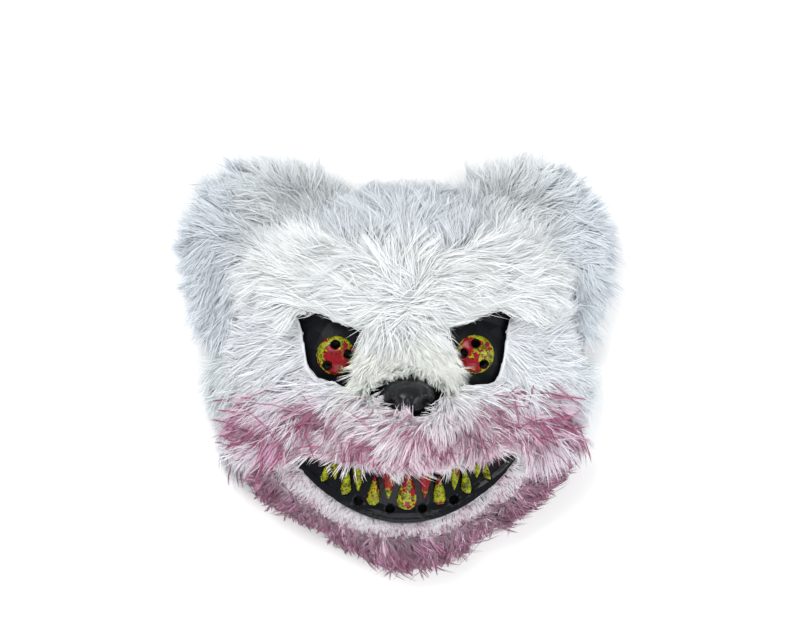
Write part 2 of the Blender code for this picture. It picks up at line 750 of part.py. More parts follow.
def ear(side, name, marks):
    """A padded ear from its root on the head to its rim, cupped at the front."""
    root = joined(
        walked(marks, "ear_root_top")[::-1], walked(marks, "brow_tail"),
        walked(marks, "ear_root_side")[::-1],
    )
    count = len(root)
    unit = np.array([HALF_WIDTH, HALF_HEIGHT, SHELL_DEPTH])
    outline = smooth_walk([np.array(row) * unit for row in EAR_OUTLINE.values()], count)
    spread = np.linspace(0, 1, count)
    angles = RIM_MARKS["rim_ear"] + (RIM_MARKS["rim_lobe"] - RIM_MARKS["rim_ear"]) * spread
    angles[0] -= 7
    angles[1] -= 3
    rim = rim_places(angles)
    loops = []
    for k in range(count):
        width = np.linalg.norm(on_head(rim[k : k + 1], 0) - on_head(root[k : k + 1], 0))
        start, end = root[k] + (rim[k] - root[k]) * min(0.3, 1.4 * SEAM_GAP / width), rim[k]
        at_root = on_head(np.array([start, start]), np.array([EAR_GLUE_GAP, PILE_FOOT]))
        beneath = np.array([end + (start - end) * s for s in (0.0, 0.25, 0.5, 0.75)])
        beneath = on_head(beneath, EAR_GLUE_GAP)
        edge = outline[k]
        front_root = at_root[1]
        away = edge - front_root
        away = away / np.linalg.norm(away)
        facing = np.array([0, 0, 1.0]) - away * away[2]
        facing = facing / np.linalg.norm(facing)
        loop = [at_root[0]]
        taper = math.sin(math.pi * min(1.0, min(spread[k], 1 - spread[k]) * 3.5) / 2)
        round_edge = EAR_EDGE * (0.5 + 0.5 * taper)
        lip = edge + facing * round_edge
        for s in EAR_FACE:
            dish = EAR_DISH * taper * math.sin(math.pi * s) ** 0.8
            loop.append(front_root + (lip - front_root) * s - facing * dish)
        loop.append(lip)
        loop.append(edge + away * round_edge)
        loop.append(edge - facing * round_edge)
        back_foot = on_head(end[None], PILE_FOOT)[0]
        for s in (0.35, 0.7):
            loop.append((edge - facing * round_edge) * (1 - s) + back_foot * s)
        loop.append(back_foot)
        loop.extend(beneath)
        loops.append(loop)
    loops = np.array(loops)
    loops[..., 0] *= side
    shape = bmesh.new()
    rings = [[shape.verts.new(p) for p in loop] for loop in loops]
    size = len(rings[0])
    furry = []
    for k in range(count - 1):
        for m in range(size):
            n = (m + 1) % size
            face = shape.faces.new((rings[k][m], rings[k][n], rings[k + 1][n], rings[k + 1][m]))
            if 1 <= m <= len(EAR_FACE) + 1 and k > 0:
                furry.append((k, m, face))
    shape.faces.new(rings[0][::-1])
    shape.faces.new(rings[-1])
    bmesh.ops.recalc_face_normals(shape, faces=shape.faces)
    chance = random.Random("ear")
    for k, m, face in furry:
        flow = rings[k][(m + 1) % size].co - rings[k][m].co
        face.normal_update()
        edge_hold = 0.5 if k in (0, count - 2) else 1.0
        lean = flow.normalized() * (0.005 * edge_hold if m > 1 else 0.002)
        tip = face.calc_center_median() + face.normal * EAR_PILE * chance.uniform(0.75, 1) + lean
        grow_lock(shape, face, tip, m > len(EAR_FACE) - 2)
    return finished(name, shape, paint(name, FUR_WHITE, 0.9), triangles=True)


def head_band():
    """The elastic band: from the shell's side down to the floor, across and up again."""
    y = BAND_UP * HALF_HEIGHT
    heights = np.linspace(BAND_REACH_UP, BAND_BEND + 0.002, 4)
    wall = []
    for z in heights:
        low, high = 0.0, REACH
        for _ in range(HALVINGS):
            x = (low + high) / 2
            worst = max(
                head_distance(np.array([[x, y + d, z]]))[0]
                for d in (-BAND_WIDTH / 2, 0.0, BAND_WIDTH / 2)
            )
            low, high = (x, high) if worst < -SHELL_WALL - BAND_FIT else (low, x)
        wall.append((low, z))
    corner_x = wall[-1][0]
    half = BAND_THICKNESS / 2
    path = [(x - half, z) for x, z in wall]
    for turn in (20, 45, 70, 90):
        a = math.radians(turn)
        reach = BAND_BEND - half
        path.append((corner_x - half - reach * (1 - math.cos(a)), BAND_BEND - reach * math.sin(a)))
    path.append((corner_x * 0.45, half))
    path = path + [(-x, z) for x, z in reversed(path)]
    points = np.array(path)
    tangent = np.gradient(points, axis=0)
    tangent = tangent / np.linalg.norm(tangent, axis=1)[:, None]
    normal = np.column_stack([-tangent[:, 1], tangent[:, 0]])
    faces = []
    for offset in (-half, half):
        skin = points + normal * offset
        faces.append([
            [(x, y + d, z + 0.0001) for d in (-BAND_WIDTH / 2, BAND_WIDTH / 2)] for x, z in skin
        ])
    shape, _ = slab(faces[0], faces[1])
    return finished("head_band", shape, paint("head_band", ELASTIC_WHITE, 0.8))


def build():
    """Build the whole mask."""
    for old in list(bpy.data.objects):
        bpy.data.objects.remove(old)
    face_shell()
    marks = right_marks()
    line = {name: walked(marks, name) for name in LINES}
    crown = rim_places(np.linspace(180 - RIM_MARKS["rim_ear"], RIM_MARKS["rim_ear"], 13))
    brow_arcs = joined(across(line["brow_arc"]), line["brow_arc"])
    edge = line["ear_root_top"]
    grid = filled(brow_arcs, crown, across(edge)[::-1], edge)
    plush_panel("forehead", "forehead", [grid], FUR_WHITE)
    foot = joined(across(line["nose_over"]), line["nose_over"])
    top = joined(across(line["brow_under"]), line["brow_under"])
    edge = joined(line["nose_gap"], line["eye_inner"])
    grid = filled(foot, top, across(edge)[::-1], edge)
    plush_panel("bridge", "bridge", [grid], FUR_WHITE)
    half_top = joined(line["nose_below"], line["nose_gap"])
    top = joined(across(half_top), half_top)
    foot = seen_from_front(*mouth_edge(np.linspace(-1, 1, len(top)), 1), PILE_FOOT)
    edge = line["smile_fold"]
    grid = filled(foot, top, across(edge)[::-1], edge)
    plush_panel("muzzle", "muzzle", [grid], FUR_WHITE)
    shares = np.linspace(-1, 1, 17)
    chin = seen_from_front(*chin_line(shares), SEEN_SEAM)
    lip = seen_from_front(*mouth_edge(shares, 0), PILE_FOOT)
    edge = line["chin_end"][::-1]
    lip_plush(chin, lip, (across(edge)[::-1], edge))
    under = rim_places(np.linspace(-180 - RIM_MARKS["rim_jowl"], RIM_MARKS["rim_jowl"], 17))
    edge = line["jowl_seam"]
    grid = filled(under, chin, across(edge)[::-1], edge)
    plush_panel("jaw", "jaw", [grid], FUR_STAINED)
    for side, word in ((-1, "left"), (1, "right")):
        flip = np.array([side, 1.0])
        foot = joined(line["brow_under"], line["eye_over"])
        top = joined(line["brow_arc"], line["brow_tail"])
        grid = filled(foot, top, line["brow_seam"], line["crow_foot"])
        plush_panel(f"brow_{word}", "brow", [grid * flip], FUR_WHITE)
        top = joined(line["eye_below"], line["cheek_fold"])
        low = filled(line["mouth_end"], top, line["smile_fold"], line["side_seam"])
        high = filled(
            line["cheek_fold"], line["crow_foot"], line["eye_outer"], line["ear_root_side"]
        )
        plush_panel(f"cheek_{word}", "cheek", [low * flip, high * flip], FUR_WHITE)
        rim_side = rim_places(np.linspace(RIM_MARKS["rim_jowl"], RIM_MARKS["rim_lobe"], 7))
        grid = filled(
            line["jowl_seam"][::-1], line["lobe_seam"][::-1], line["side_seam"], rim_side
        )
        plush_panel(f"side_{word}", "side", [grid * flip], FUR_WHITE)
        ear(side, f"ear_{word}", marks)
        eye(side, f"eye_{word}")
    nose()
    mouth_plate()
    for name, row in TEETH.items():
        if row[0] == 0:
            tooth(f"tooth_{name}", 1, row)
            continue
        for side, word in ((-1, "left"), (1, "right")):
            tooth(f"tooth_{name}_{word}", side, row)
    head_band()


build()
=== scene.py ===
# %% [markdown]
# # A furry bear mask
#
# This lesson dresses a costume mask: a hollow black plastic face under long white plush, with
# painted eyes and teeth. The plain solids come first, as a frame that never moves. Every step
# after that puts a finished surface on one of them, or grows something out of it.

import math

import bpy
import numpy as np
from mathutils import Matrix, Vector
from mathutils.bvhtree import BVHTree
from mathutils.kdtree import KDTree


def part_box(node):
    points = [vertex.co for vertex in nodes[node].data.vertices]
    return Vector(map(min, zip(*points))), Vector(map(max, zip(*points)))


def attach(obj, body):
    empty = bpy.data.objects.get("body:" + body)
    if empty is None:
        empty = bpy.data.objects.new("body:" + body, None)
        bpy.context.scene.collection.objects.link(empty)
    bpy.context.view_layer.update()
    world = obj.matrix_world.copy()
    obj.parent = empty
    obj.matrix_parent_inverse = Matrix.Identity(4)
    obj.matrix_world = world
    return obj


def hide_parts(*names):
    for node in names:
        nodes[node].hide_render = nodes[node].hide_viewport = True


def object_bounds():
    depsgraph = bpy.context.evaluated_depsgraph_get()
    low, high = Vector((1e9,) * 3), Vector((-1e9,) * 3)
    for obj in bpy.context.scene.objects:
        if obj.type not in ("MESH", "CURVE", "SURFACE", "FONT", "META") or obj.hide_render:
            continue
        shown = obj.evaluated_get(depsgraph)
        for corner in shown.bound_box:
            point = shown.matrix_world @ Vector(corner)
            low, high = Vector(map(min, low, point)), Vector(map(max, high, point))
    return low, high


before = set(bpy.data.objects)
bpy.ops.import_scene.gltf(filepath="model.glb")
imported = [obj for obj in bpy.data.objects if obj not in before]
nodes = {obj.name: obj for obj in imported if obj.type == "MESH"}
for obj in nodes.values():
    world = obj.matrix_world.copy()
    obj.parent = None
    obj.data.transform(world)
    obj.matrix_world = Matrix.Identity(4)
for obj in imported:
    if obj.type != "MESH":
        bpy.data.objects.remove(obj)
solid_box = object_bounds()
print("solids:", len(nodes), "box:", [[round(c, 3) for c in corner] for corner in solid_box])

# %% [markdown]
# ## Where things are on the mask
#
# The fur's lie and its stain depend on where a hair stands: beside the nose, over an eye, on
# the chin. These places are read from the solids' own boxes, so they follow the solids if
# somebody resizes them. Writing the numbers down by hand would work only for one size.

# %% Landmarks


def middle_of(name):
    """The middle of a solid's box."""
    low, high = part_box(name)
    return (Vector(low) + Vector(high)) / 2


def size_of(name):
    """The three sides of a solid's box."""
    low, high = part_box(name)
    return Vector(high) - Vector(low)


NOSE = np.array(middle_of("nose"))
MOUTH = np.array(middle_of("mouth"))
EYES = [np.array(middle_of("eye_left")), np.array(middle_of("eye_right"))]
EYE_RADIUS = size_of("eye_right").x / 2
MASK_WIDTH = solid_box[1][0] - solid_box[0][0]
MASK_HEIGHT = solid_box[1][1] - solid_box[0][1]
print("nose", NOSE.round(3), "mouth", MOUTH.round(3), "eye radius", round(EYE_RADIUS, 4))

# %% [markdown]
# ## The camera
#
# The mask lies face up, so the camera hangs above it and looks down. It stands far off with a
# long lens, as a product photographer's does, which keeps the nose from looking swollen. It
# sits a few degrees to the left of the mask's middle, so the nose and eyes shift a little to
# the right of the outline.

# %% Camera


def placed(name, data):
    """A new object in the scene, from a mesh, a light or a camera."""
    made = bpy.data.objects.new(name, data)
    bpy.context.scene.collection.objects.link(made)
    return made


VIEW_WIDTH = 0.543
CAMERA_DISTANCE = 1.40
SENSOR = 36.0
CAMERA_SWING = math.radians(3.0)
CAMERA_ROLL = math.radians(0.4)
LOOK_AT = Vector((0.0017, 0.036, 0.045))

camera_data = bpy.data.cameras.new("camera")
camera_data.sensor_width = SENSOR
camera_data.lens = SENSOR * CAMERA_DISTANCE / VIEW_WIDTH
camera_data.clip_start = 0.05
camera = placed("camera", camera_data)
back = Vector((-math.sin(CAMERA_SWING), 0, math.cos(CAMERA_SWING)))
camera.location = LOOK_AT + back * CAMERA_DISTANCE
up = Vector((math.sin(CAMERA_ROLL), math.cos(CAMERA_ROLL), 0))
right = up.cross(back).normalized()
up = back.cross(right)
camera.rotation_euler = Matrix((right, up, back)).transposed().to_euler()
bpy.context.scene.camera = camera
bpy.context.scene.view_settings.view_transform = "Standard"
print("lens", round(camera_data.lens, 1), "mm")

# %% [markdown]
# ## The table and the lights
#
# The mask was photographed on white with light from all round. Large area lights give soft
# shadows between the tufts, and a dim even sky fills the rest. One light is a little stronger
# than the others, because fur lit equally from all sides turns into a flat white patch.

# %% Floor and lights


def plain_material(name, colour, roughness):
    """A one-colour material, for what isn't part of the mask."""
    made = bpy.data.materials.new(name)
    made.use_nodes = True
    shader = made.node_tree.nodes["Principled BSDF"]
    shader.inputs["Base Color"].default_value = (*colour, 1)
    shader.inputs["Roughness"].default_value = roughness
    return made


FLOOR_HALF = 3.0
FLOOR_DROP = 0.0002
floor_mesh = bpy.data.meshes.new("floor")
corners = [(-FLOOR_HALF, -FLOOR_HALF), (FLOOR_HALF, -FLOOR_HALF)]
corners += [(FLOOR_HALF, FLOOR_HALF), (-FLOOR_HALF, FLOOR_HALF)]
floor_mesh.from_pydata([(x, y, -FLOOR_DROP) for x, y in corners], [], [(0, 1, 2, 3)])
floor = placed("floor", floor_mesh)
floor_mesh.materials.append(plain_material("floor_white", (0.93, 0.93, 0.93), 0.9))


LIGHTS_AIM = Vector((0, 0, 0.04))
SKY_STRENGTH = 0.58


def softbox(name, place, size, power, colour=(1, 1, 1)):
    """A square area light that faces the mask."""
    data = bpy.data.lights.new(name, "AREA")
    data.shape = "SQUARE"
    data.size = size
    data.energy = power
    data.color = colour
    made = placed(name, data)
    made.location = place
    aim = LIGHTS_AIM - Vector(place)
    made.rotation_euler = aim.to_track_quat("-Z", "Y").to_euler()


softbox("key", (-0.7, 0.9, 1.5), 0.9, 24, (1.0, 0.99, 0.98))
softbox("fill", (1.3, -0.3, 1.2), 1.2, 14, (0.98, 0.99, 1.0))
softbox("front", (0.0, -1.3, 1.0), 1.0, 10)
sky = bpy.data.worlds.new("studio")
sky.use_nodes = True
sky.node_tree.nodes["Background"].inputs["Color"].default_value = (1.0, 1.0, 1.0, 1)
sky.node_tree.nodes["Background"].inputs["Strength"].default_value = SKY_STRENGTH
bpy.context.scene.world = sky

# %% [markdown]
# ## Black moulded plastic
#
# The shell, the nose and the mouth are one kind of plastic: black, moulded in a polished
# tool, and a little uneven where it cooled. A faint noise in the roughness breaks up the
# highlights, and a still fainter bump gives the orange-peel look of cheap moulding.
#
# The shell keeps its own faces. The nose and the mouth are melted first: a voxel remesh turns
# their facets into one even skin, and a smooth modifier relaxes it.

# %% Black plastic
PLASTIC_TONES = ((0.0025, 0.0028, 0.004, 1), (0.006, 0.0065, 0.009, 1))
GLOSS_RANGE = (0.75, 1.35)


def linked(tree, a, b):
    """Join two sockets."""
    tree.links.new(a, b)


def started(name, constants):
    """A new material with numbers set on its shader, and its tree, its shader and the socket
    that gives the place on the piece."""
    made = bpy.data.materials.new(name)
    made.use_nodes = True
    tree = made.node_tree
    shader = tree.nodes["Principled BSDF"]
    for socket, value in constants.items():
        shader.inputs[socket].default_value = value
    return made, tree, shader, tree.nodes.new("ShaderNodeTexCoord").outputs["Object"]


def noise(tree, place, scale, detail=2):
    """A cloudy pattern over a place."""
    made = tree.nodes.new("ShaderNodeTexNoise")
    made.inputs["Scale"].default_value = scale
    made.inputs["Detail"].default_value = detail
    linked(tree, place, made.inputs["Vector"])
    return made


def bumped(tree, shader, height, strength, distance):
    """Raise a surface by a pattern, in its shading only."""
    bump = tree.nodes.new("ShaderNodeBump")
    bump.inputs["Strength"].default_value = strength
    bump.inputs["Distance"].default_value = distance
    linked(tree, height, bump.inputs["Height"])
    linked(tree, bump.outputs["Normal"], shader.inputs["Normal"])


def black_plastic(name, roughness, ripple, shine):
    """Black moulded plastic with an uneven gloss."""
    made, tree, shader, place = started(name, {"Specular IOR Level": shine})
    patches = noise(tree, place, 60, 3)
    tone = tree.nodes.new("ShaderNodeValToRGB")
    for element, colour in zip(tone.color_ramp.elements, PLASTIC_TONES, strict=True):
        element.color = colour
    linked(tree, patches.outputs["Fac"], tone.inputs["Fac"])
    linked(tree, tone.outputs["Color"], shader.inputs["Base Color"])
    gloss = tree.nodes.new("ShaderNodeMapRange")
    gloss.inputs["To Min"].default_value = roughness * GLOSS_RANGE[0]
    gloss.inputs["To Max"].default_value = roughness * GLOSS_RANGE[1]
    linked(tree, patches.outputs["Fac"], gloss.inputs["Value"])
    linked(tree, gloss.outputs["Result"], shader.inputs["Roughness"])
    bumped(tree, shader, noise(tree, place, 420).outputs["Fac"], ripple, 0.0004)
    return made


def dress(name, material):
    """Give a solid its finish, with normals that favour its large faces."""
    node = nodes[name]
    node.data.materials.clear()
    node.data.materials.append(material)
    node.data.polygons.foreach_set("use_smooth", [True] * len(node.data.polygons))
    node.modifiers.new("even_shading", "WEIGHTED_NORMAL")


dress("face_shell", black_plastic("shell_plastic", 0.45, 0.15, 0.12))
print("dressed the shell")

# %% Melting a solid's facets
RELAX_SHARE = 0.6


def fresh_mesh(name, points, faces):
    """A mesh object from arrays of points and faces."""
    mesh = bpy.data.meshes.new(name)
    mesh.from_pydata([tuple(p) for p in points], [], [tuple(f) for f in faces])
    return placed(name, mesh)


def melted(name, new_name, voxel, rounds):
    """A solid's form as a new piece, with its facets melted into one smooth skin."""
    source = nodes[name]
    points = [source.matrix_world @ v.co for v in source.data.vertices]
    made = fresh_mesh(new_name, points, [p.vertices[:] for p in source.data.polygons])
    melt = made.modifiers.new("melt", "REMESH")
    melt.mode = "VOXEL"
    melt.voxel_size = voxel
    relax = made.modifiers.new("relax", "SMOOTH")
    relax.factor = RELAX_SHARE
    relax.iterations = rounds
    view = bpy.context.evaluated_depsgraph_get()
    soft = bpy.data.meshes.new_from_object(made.evaluated_get(view))
    made.modifiers.clear()
    made.data = soft
    soft.polygons.foreach_set("use_smooth", [True] * len(soft.polygons))
    return made


def moulded(name, material, voxel, rounds):
    """A moulded piece in place of its faceted solid."""
    made = melted(name, f"{name}_moulded", voxel, rounds)
    made.data.materials.clear()
    made.data.materials.append(material)
    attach(made, "root")
    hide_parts(name)
    print(made.name, len(made.data.polygons), "faces")
    return made


moulded("mouth", black_plastic("mouth_plastic", 0.20, 0.55, 0.13), 0.0010, 4)
nose_piece = moulded("nose", black_plastic("nose_plastic", 0.27, 0.25, 0.30), 0.0009, 5)

# %% [markdown]
# ## The folds of the nose
#
# The solid nose is a plain dome. On the real one two creases part its middle from its wings,
# each wing has a nostril, and a groove runs down between them. They are pressed into the
# melted copy as soft dents, because bump alone wouldn't darken the nostrils.

# %% Nose folds
CREASE_DEPTH = 0.0017
NOSTRIL_DEPTH = 0.0050
GROOVE_DEPTH = 0.0009


def soft_dent(shares, middle, reach):
    """1 at the middle of a dent, and a smooth fall to 0 on both sides."""
    return np.exp(-(((shares - middle) / reach) ** 2))


def folded(nose):
    """Press the dents into the nose's top. Places are shares of its half width and height."""
    half = size_of("nose") / 2
    points = np.array([v.co[:] for v in nose.data.vertices])
    u = np.abs(points[:, 0] - NOSE[0]) / half.x
    v = (points[:, 1] - NOSE[1]) / half.y
    crease = soft_dent(u + 0.12 * v, 0.50, 0.10) * np.clip(0.9 - v, 0, 1)
    nostril = soft_dent(u, 0.60, 0.17) * soft_dent(v, -0.40, 0.22)
    groove = soft_dent(u, 0.0, 0.08) * np.clip(-2 * v, 0, 1)
    points[:, 2] -= CREASE_DEPTH * crease + NOSTRIL_DEPTH * nostril + GROOVE_DEPTH * groove
    nose.data.vertices.foreach_set("co", points.astype(np.float32).ravel())
    nose.data.update()


folded(nose_piece)
print("pressed nostrils", NOSTRIL_DEPTH * 1000, "mm deep into the nose")

# %% [markdown]
# ## Spattered paint
#
# The eyes and the teeth share one paint job: an acid green-yellow ground, tiny black specks,
# and splashes of red. Spray spatter has sharp drops of many sizes, so it comes from cell
# patterns cut off at a threshold rather than from a soft blend. A noise bends the cells, which
# keeps the drops from looking like polygons. The red drops run together near one point of each
# piece, the middle of the splash, and thin out away from it. Each layer has the scale of its
# cells, how much of a cell is a drop, a colour, and whether it thins out.

# %% Spattered paint
SPATTER_RED = (0.23, 0.003, 0.009)
SPATTER_BLACK = (0.012, 0.010, 0.004)
GREEN_SHADOW = (0.07, 0.075, 0.002, 1)
GREEN_LIGHT = (0.30, 0.34, 0.004, 1)
PAINT_LAYERS = (
    (130, 0.72, SPATTER_RED, True),
    (380, 0.60, SPATTER_RED, True),
    (950, 0.33, SPATTER_BLACK, False),
    (430, 0.27, SPATTER_BLACK, False),
)
DROP_EDGE = 0.92


def spattered_paint(name, red_middle, red_reach, seed):
    """Acid green paint, red round one point, with red drops and black specks elsewhere."""
    gloss = {"Roughness": 0.22, "Specular IOR Level": 0.22}
    made, tree, shader, place = started(name, gloss)
    shift = tree.nodes.new("ShaderNodeMapping")
    shift.inputs["Location"].default_value = (seed * 0.37, seed * 0.61, seed * 0.13)
    linked(tree, place, shift.inputs["Vector"])
    shifted = shift.outputs["Vector"]
    ground = tree.nodes.new("ShaderNodeValToRGB")
    ground.color_ramp.elements[0].position = 0.36
    ground.color_ramp.elements[0].color = GREEN_SHADOW
    ground.color_ramp.elements[1].position = 0.58
    ground.color_ramp.elements[1].color = GREEN_LIGHT
    linked(tree, noise(tree, shifted, 260, 4).outputs["Fac"], ground.inputs["Fac"])
    distance = tree.nodes.new("ShaderNodeVectorMath")
    distance.operation = "DISTANCE"
    linked(tree, place, distance.inputs[0])
    distance.inputs[1].default_value = red_middle
    thinning = tree.nodes.new("ShaderNodeMapRange")
    thinning.inputs["From Min"].default_value = red_reach * 0.3
    thinning.inputs["From Max"].default_value = red_reach
    thinning.inputs["To Max"].default_value = 0.5
    linked(tree, distance.outputs["Value"], thinning.inputs["Value"])
    colour = ground.outputs["Color"]
    for scale, cut, paint_colour, thins in PAINT_LAYERS:
        cells = tree.nodes.new("ShaderNodeTexVoronoi")
        cells.inputs["Scale"].default_value = scale
        wobble = noise(tree, shifted, scale * 1.2)
        bent = tree.nodes.new("ShaderNodeVectorMath")
        bent.operation = "MULTIPLY_ADD"
        linked(tree, wobble.outputs["Color"], bent.inputs[0])
        bent.inputs[1].default_value = (0.9 / scale,) * 3
        linked(tree, shifted, bent.inputs[2])
        linked(tree, bent.outputs["Vector"], cells.inputs["Vector"])
        drop = cells.outputs["Distance"]
        if thins:
            added = tree.nodes.new("ShaderNodeMath")
            linked(tree, drop, added.inputs[0])
            linked(tree, thinning.outputs["Result"], added.inputs[1])
            drop = added.outputs["Value"]
        edge = tree.nodes.new("ShaderNodeMapRange")
        edge.inputs["From Min"].default_value = cut
        edge.inputs["From Max"].default_value = cut * DROP_EDGE
        linked(tree, drop, edge.inputs["Value"])
        mix = tree.nodes.new("ShaderNodeMix")
        mix.data_type = "RGBA"
        linked(tree, edge.outputs["Result"], mix.inputs["Factor"])
        linked(tree, colour, mix.inputs["A"])
        mix.inputs["B"].default_value = (*paint_colour, 1)
        colour = mix.outputs["Result"]
    linked(tree, colour, shader.inputs["Base Color"])
    return made


# %% Paint the eyes and the teeth
# Each splash: the side, its middle in eye radii right and up, and a shift for the noise.
SPLASHES = (("left", -0.12, -0.25, 3), ("right", -0.38, -0.26, 8))
SPLASH_RISE = 0.3
EYE_RED_REACH = 1.5
TEETH_RED_REACH = 0.25
for side, across, up_share, seed in SPLASHES:
    eye = middle_of(f"eye_{side}")
    splash = eye + Vector((across * EYE_RADIUS, up_share * EYE_RADIUS, SPLASH_RISE * EYE_RADIUS))
    paint = spattered_paint(f"eye_paint_{side}", splash, EYE_RADIUS * EYE_RED_REACH, seed)
    moulded(f"eye_{side}", paint, 0.0008, 3)
teeth = sorted(name for name in nodes if name.startswith("tooth_"))
mouth_size = size_of("mouth")
gum_middle = Vector((MOUTH[0], MOUTH[1] + mouth_size.y * 0.25, middle_of(teeth[0]).z))
for number, name in enumerate(teeth):
    paint = spattered_paint(f"paint_{name}", gum_middle, mouth_size.x * TEETH_RED_REACH, number)
    moulded(name, paint, 0.0009, 2)
print("painted", len(teeth), "teeth and two eyes")

# %% [markdown]
# ## The elastic head band
#
# Woven elastic has ribs along the band. It lies inside the shell and hardly shows, so one wave
# pattern is enough, for their bump and for painted shade that darkens the grooves between them.

# %% Head band weave


def woven_elastic(name):
    """White elastic with ribs along it, its grooves painted darker as shade."""
    made, tree, shader, place = started(name, {"Roughness": 0.85})
    ribs = tree.nodes.new("ShaderNodeTexWave")
    ribs.bands_direction = "Y"
    ribs.inputs["Scale"].default_value = 320
    ribs.inputs["Distortion"].default_value = 0.6
    linked(tree, place, ribs.inputs["Vector"])
    # Painted shade: the low parts of the wave, the grooves, are darker.
    tone = tree.nodes.new("ShaderNodeValToRGB")
    tone.color_ramp.elements[0].color = (0.48, 0.48, 0.47, 1)
    tone.color_ramp.elements[1].color = (0.78, 0.78, 0.76, 1)
    linked(tree, ribs.outputs["Fac"], tone.inputs["Fac"])
    linked(tree, tone.outputs["Color"], shader.inputs["Base Color"])
    bumped(tree, shader, ribs.outputs["Fac"], 1.0, 0.0003)
    return made


dress("head_band", woven_elastic("band_elastic"))
print("wove the head band")

# %% [markdown]
# ## The fur, panel by panel
#
# Plush pile doesn't stand straight up: it lies the way it was woven and brushed. Each kind of
# plush panel gets a row: its hairs' length, how far their tips lift off the cloth as a share
# of it, how many hairs one panel has, and the size of a clump. Pile also drifts: neighbouring
# tufts turn the same way, and others a few centimetres away turn another way.

# %% Fur table
PLUSH = {
    "forehead": (0.024, 0.26, 15500, 0.0024),
    "brow": (0.026, 0.28, 16000, 0.0026),
    "bridge": (0.014, 0.30, 7000, 0.0020),
    "muzzle": (0.016, 0.30, 14000, 0.0017),
    "cheek": (0.022, 0.28, 15500, 0.0018),
    "side": (0.020, 0.30, 8000, 0.0024),
    "jaw": (0.018, 0.28, 20000, 0.0018),
    "ear": (0.021, 0.22, 16000, 0.0022),
    "chin_plush": (0.0026, 0.80, 6500, 0.0010),
}


class Drift:
    """A smooth random number over space: a few crossing waves of one length."""

    def __init__(self, chance, wave, count=6):
        turns = chance.normal(0, 1, (count, 3))
        self.turns = turns / np.linalg.norm(turns, axis=1)[:, None] * 2 * math.pi / wave
        self.starts = chance.uniform(0, 2 * math.pi, count)
        self.scale = math.sqrt(2 / count)

    def at(self, places):
        """The number at each place, about -1.5 to 1.5."""
        return np.sin(places @ self.turns.T + self.starts).sum(1) * self.scale


def kind_of(name):
    """Which row of the table a panel uses."""
    return name if name in PLUSH else name.rsplit("_", 1)[0]


plush_names = sorted(name for name in nodes if kind_of(name) in PLUSH)
planned = sum(PLUSH[kind_of(name)][2] for name in plush_names)
print(len(plush_names), "plush panels,", planned, "hairs before trimming")

# %% Helpers for directions


def away_from(places, middle, pull=(1.0, 1.0)):
    """Directions that run away from a point, as seen from the front."""
    run = np.zeros_like(places)
    run[:, 0] = (places[:, 0] - middle[0]) * pull[0]
    run[:, 1] = (places[:, 1] - middle[1]) * pull[1]
    return run / np.maximum(np.linalg.norm(run, axis=1), 1e-6)[:, None]


def eased(values, start, end):
    """0 before start, 1 past end, and a smooth rise between."""
    share = np.clip((values - start) / (end - start), 0, 1)
    return share * share * (3 - 2 * share)


def unit(vectors):
    """The same directions with length one."""
    return vectors / np.maximum(np.linalg.norm(vectors, axis=1), 1e-9)[:, None]


print("eased a quarter of the way:", eased(0.25, 0, 1))

# %% [markdown]
# ## Where the fur makes way
#
# The fur leaves the eyes, the nose and the teeth in sight, and a shaved band of the jaw as
# well. Each place gets a function that says how near a hair is to it, as seen from the front.
# Combing, lengths, stain and trimming all use them. The gap round an eye is a polygon, given
# in eye radii: its upper edge falls towards the nose, which makes the mask look angry.

# %% Lip, eyes, nose and shaved band
LIP_SAG = 0.0125


def upper_lip(x):
    """How high the plush's edge over the mouth lies at each x."""
    low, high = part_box("mouth")
    half = (high[0] - low[0]) / 2
    share = np.clip((x - MOUTH[0]) / half, -1, 1)
    return high[1] - LIP_SAG * (1 - share**2)


EYE_GAP = ((-1.35, 1.25), (1.95, 2.70), (0.72, -1.12), (0.15, -1.08), (-0.80, -0.35))


def depth_in_gap(places, eye):
    """How deep places lie in the gap round an eye, as seen from the front."""
    side = math.copysign(1, eye[0])
    corners = [np.array([eye[0] + side * a * EYE_RADIUS, eye[1] + b * EYE_RADIUS])
               for a, b in EYE_GAP]
    depth = np.full(len(places), 1.0)
    for start, end in zip(corners, corners[1:] + corners[:1], strict=True):
        run = (end - start) / np.linalg.norm(end - start)
        inward = np.array([run[1], -run[0]]) * side
        depth = np.minimum(depth, (places[:, :2] - start) @ inward)
    return depth


NOSE_RUFF = 0.012


def beside_nose(places):
    """1 right at the nose's outline, as seen from the front, down to 0 past its ruff."""
    half = size_of("nose") / 2
    run = places[:, :2] - NOSE[:2]
    stretch = np.maximum(np.linalg.norm(run / np.array([half.x, half.y]), axis=1), 1e-3)
    return eased(np.linalg.norm(run, axis=1) * (1 - 1 / stretch), NOSE_RUFF, 0.0)


def skin_of(name):
    """A search tree over the faces of a solid."""
    mesh = nodes[name].data
    points = [v.co.copy() for v in mesh.vertices]
    return BVHTree.FromPolygons(points, [p.vertices[:] for p in mesh.polygons])


BAND_RUFF = (0.006, 0.0015)
BAND_SKIN = skin_of("chin_plush")
BAND_MIDDLE = MOUTH + np.array([0, size_of("mouth").y / 2, 0])


def beside_band(places):
    """1 right beside the shaved band, down to 0 past the ruff that hides its seam."""
    away = np.array([BAND_SKIN.find_nearest(Vector(p))[3] for p in places])
    return eased(away, *BAND_RUFF)


print("the lip's middle is at y =", round(float(upper_lip(MOUTH[0])), 4))

# %% [markdown]
# ## Combing
#
# Most panels fan out from one point: the bridge and the muzzle from over the nose, the cheeks
# from between the eyes, the jaw from over the mouth. The forehead is brushed up, the brows up
# and outward with a parting in the middle, the sides down, and the ears away from their roots
# with a twist. Beside an edge the pile is drawn in over it, as a ruff, which hides the seam:
# round the nose, under and inside the eyes, and along the shaved band.

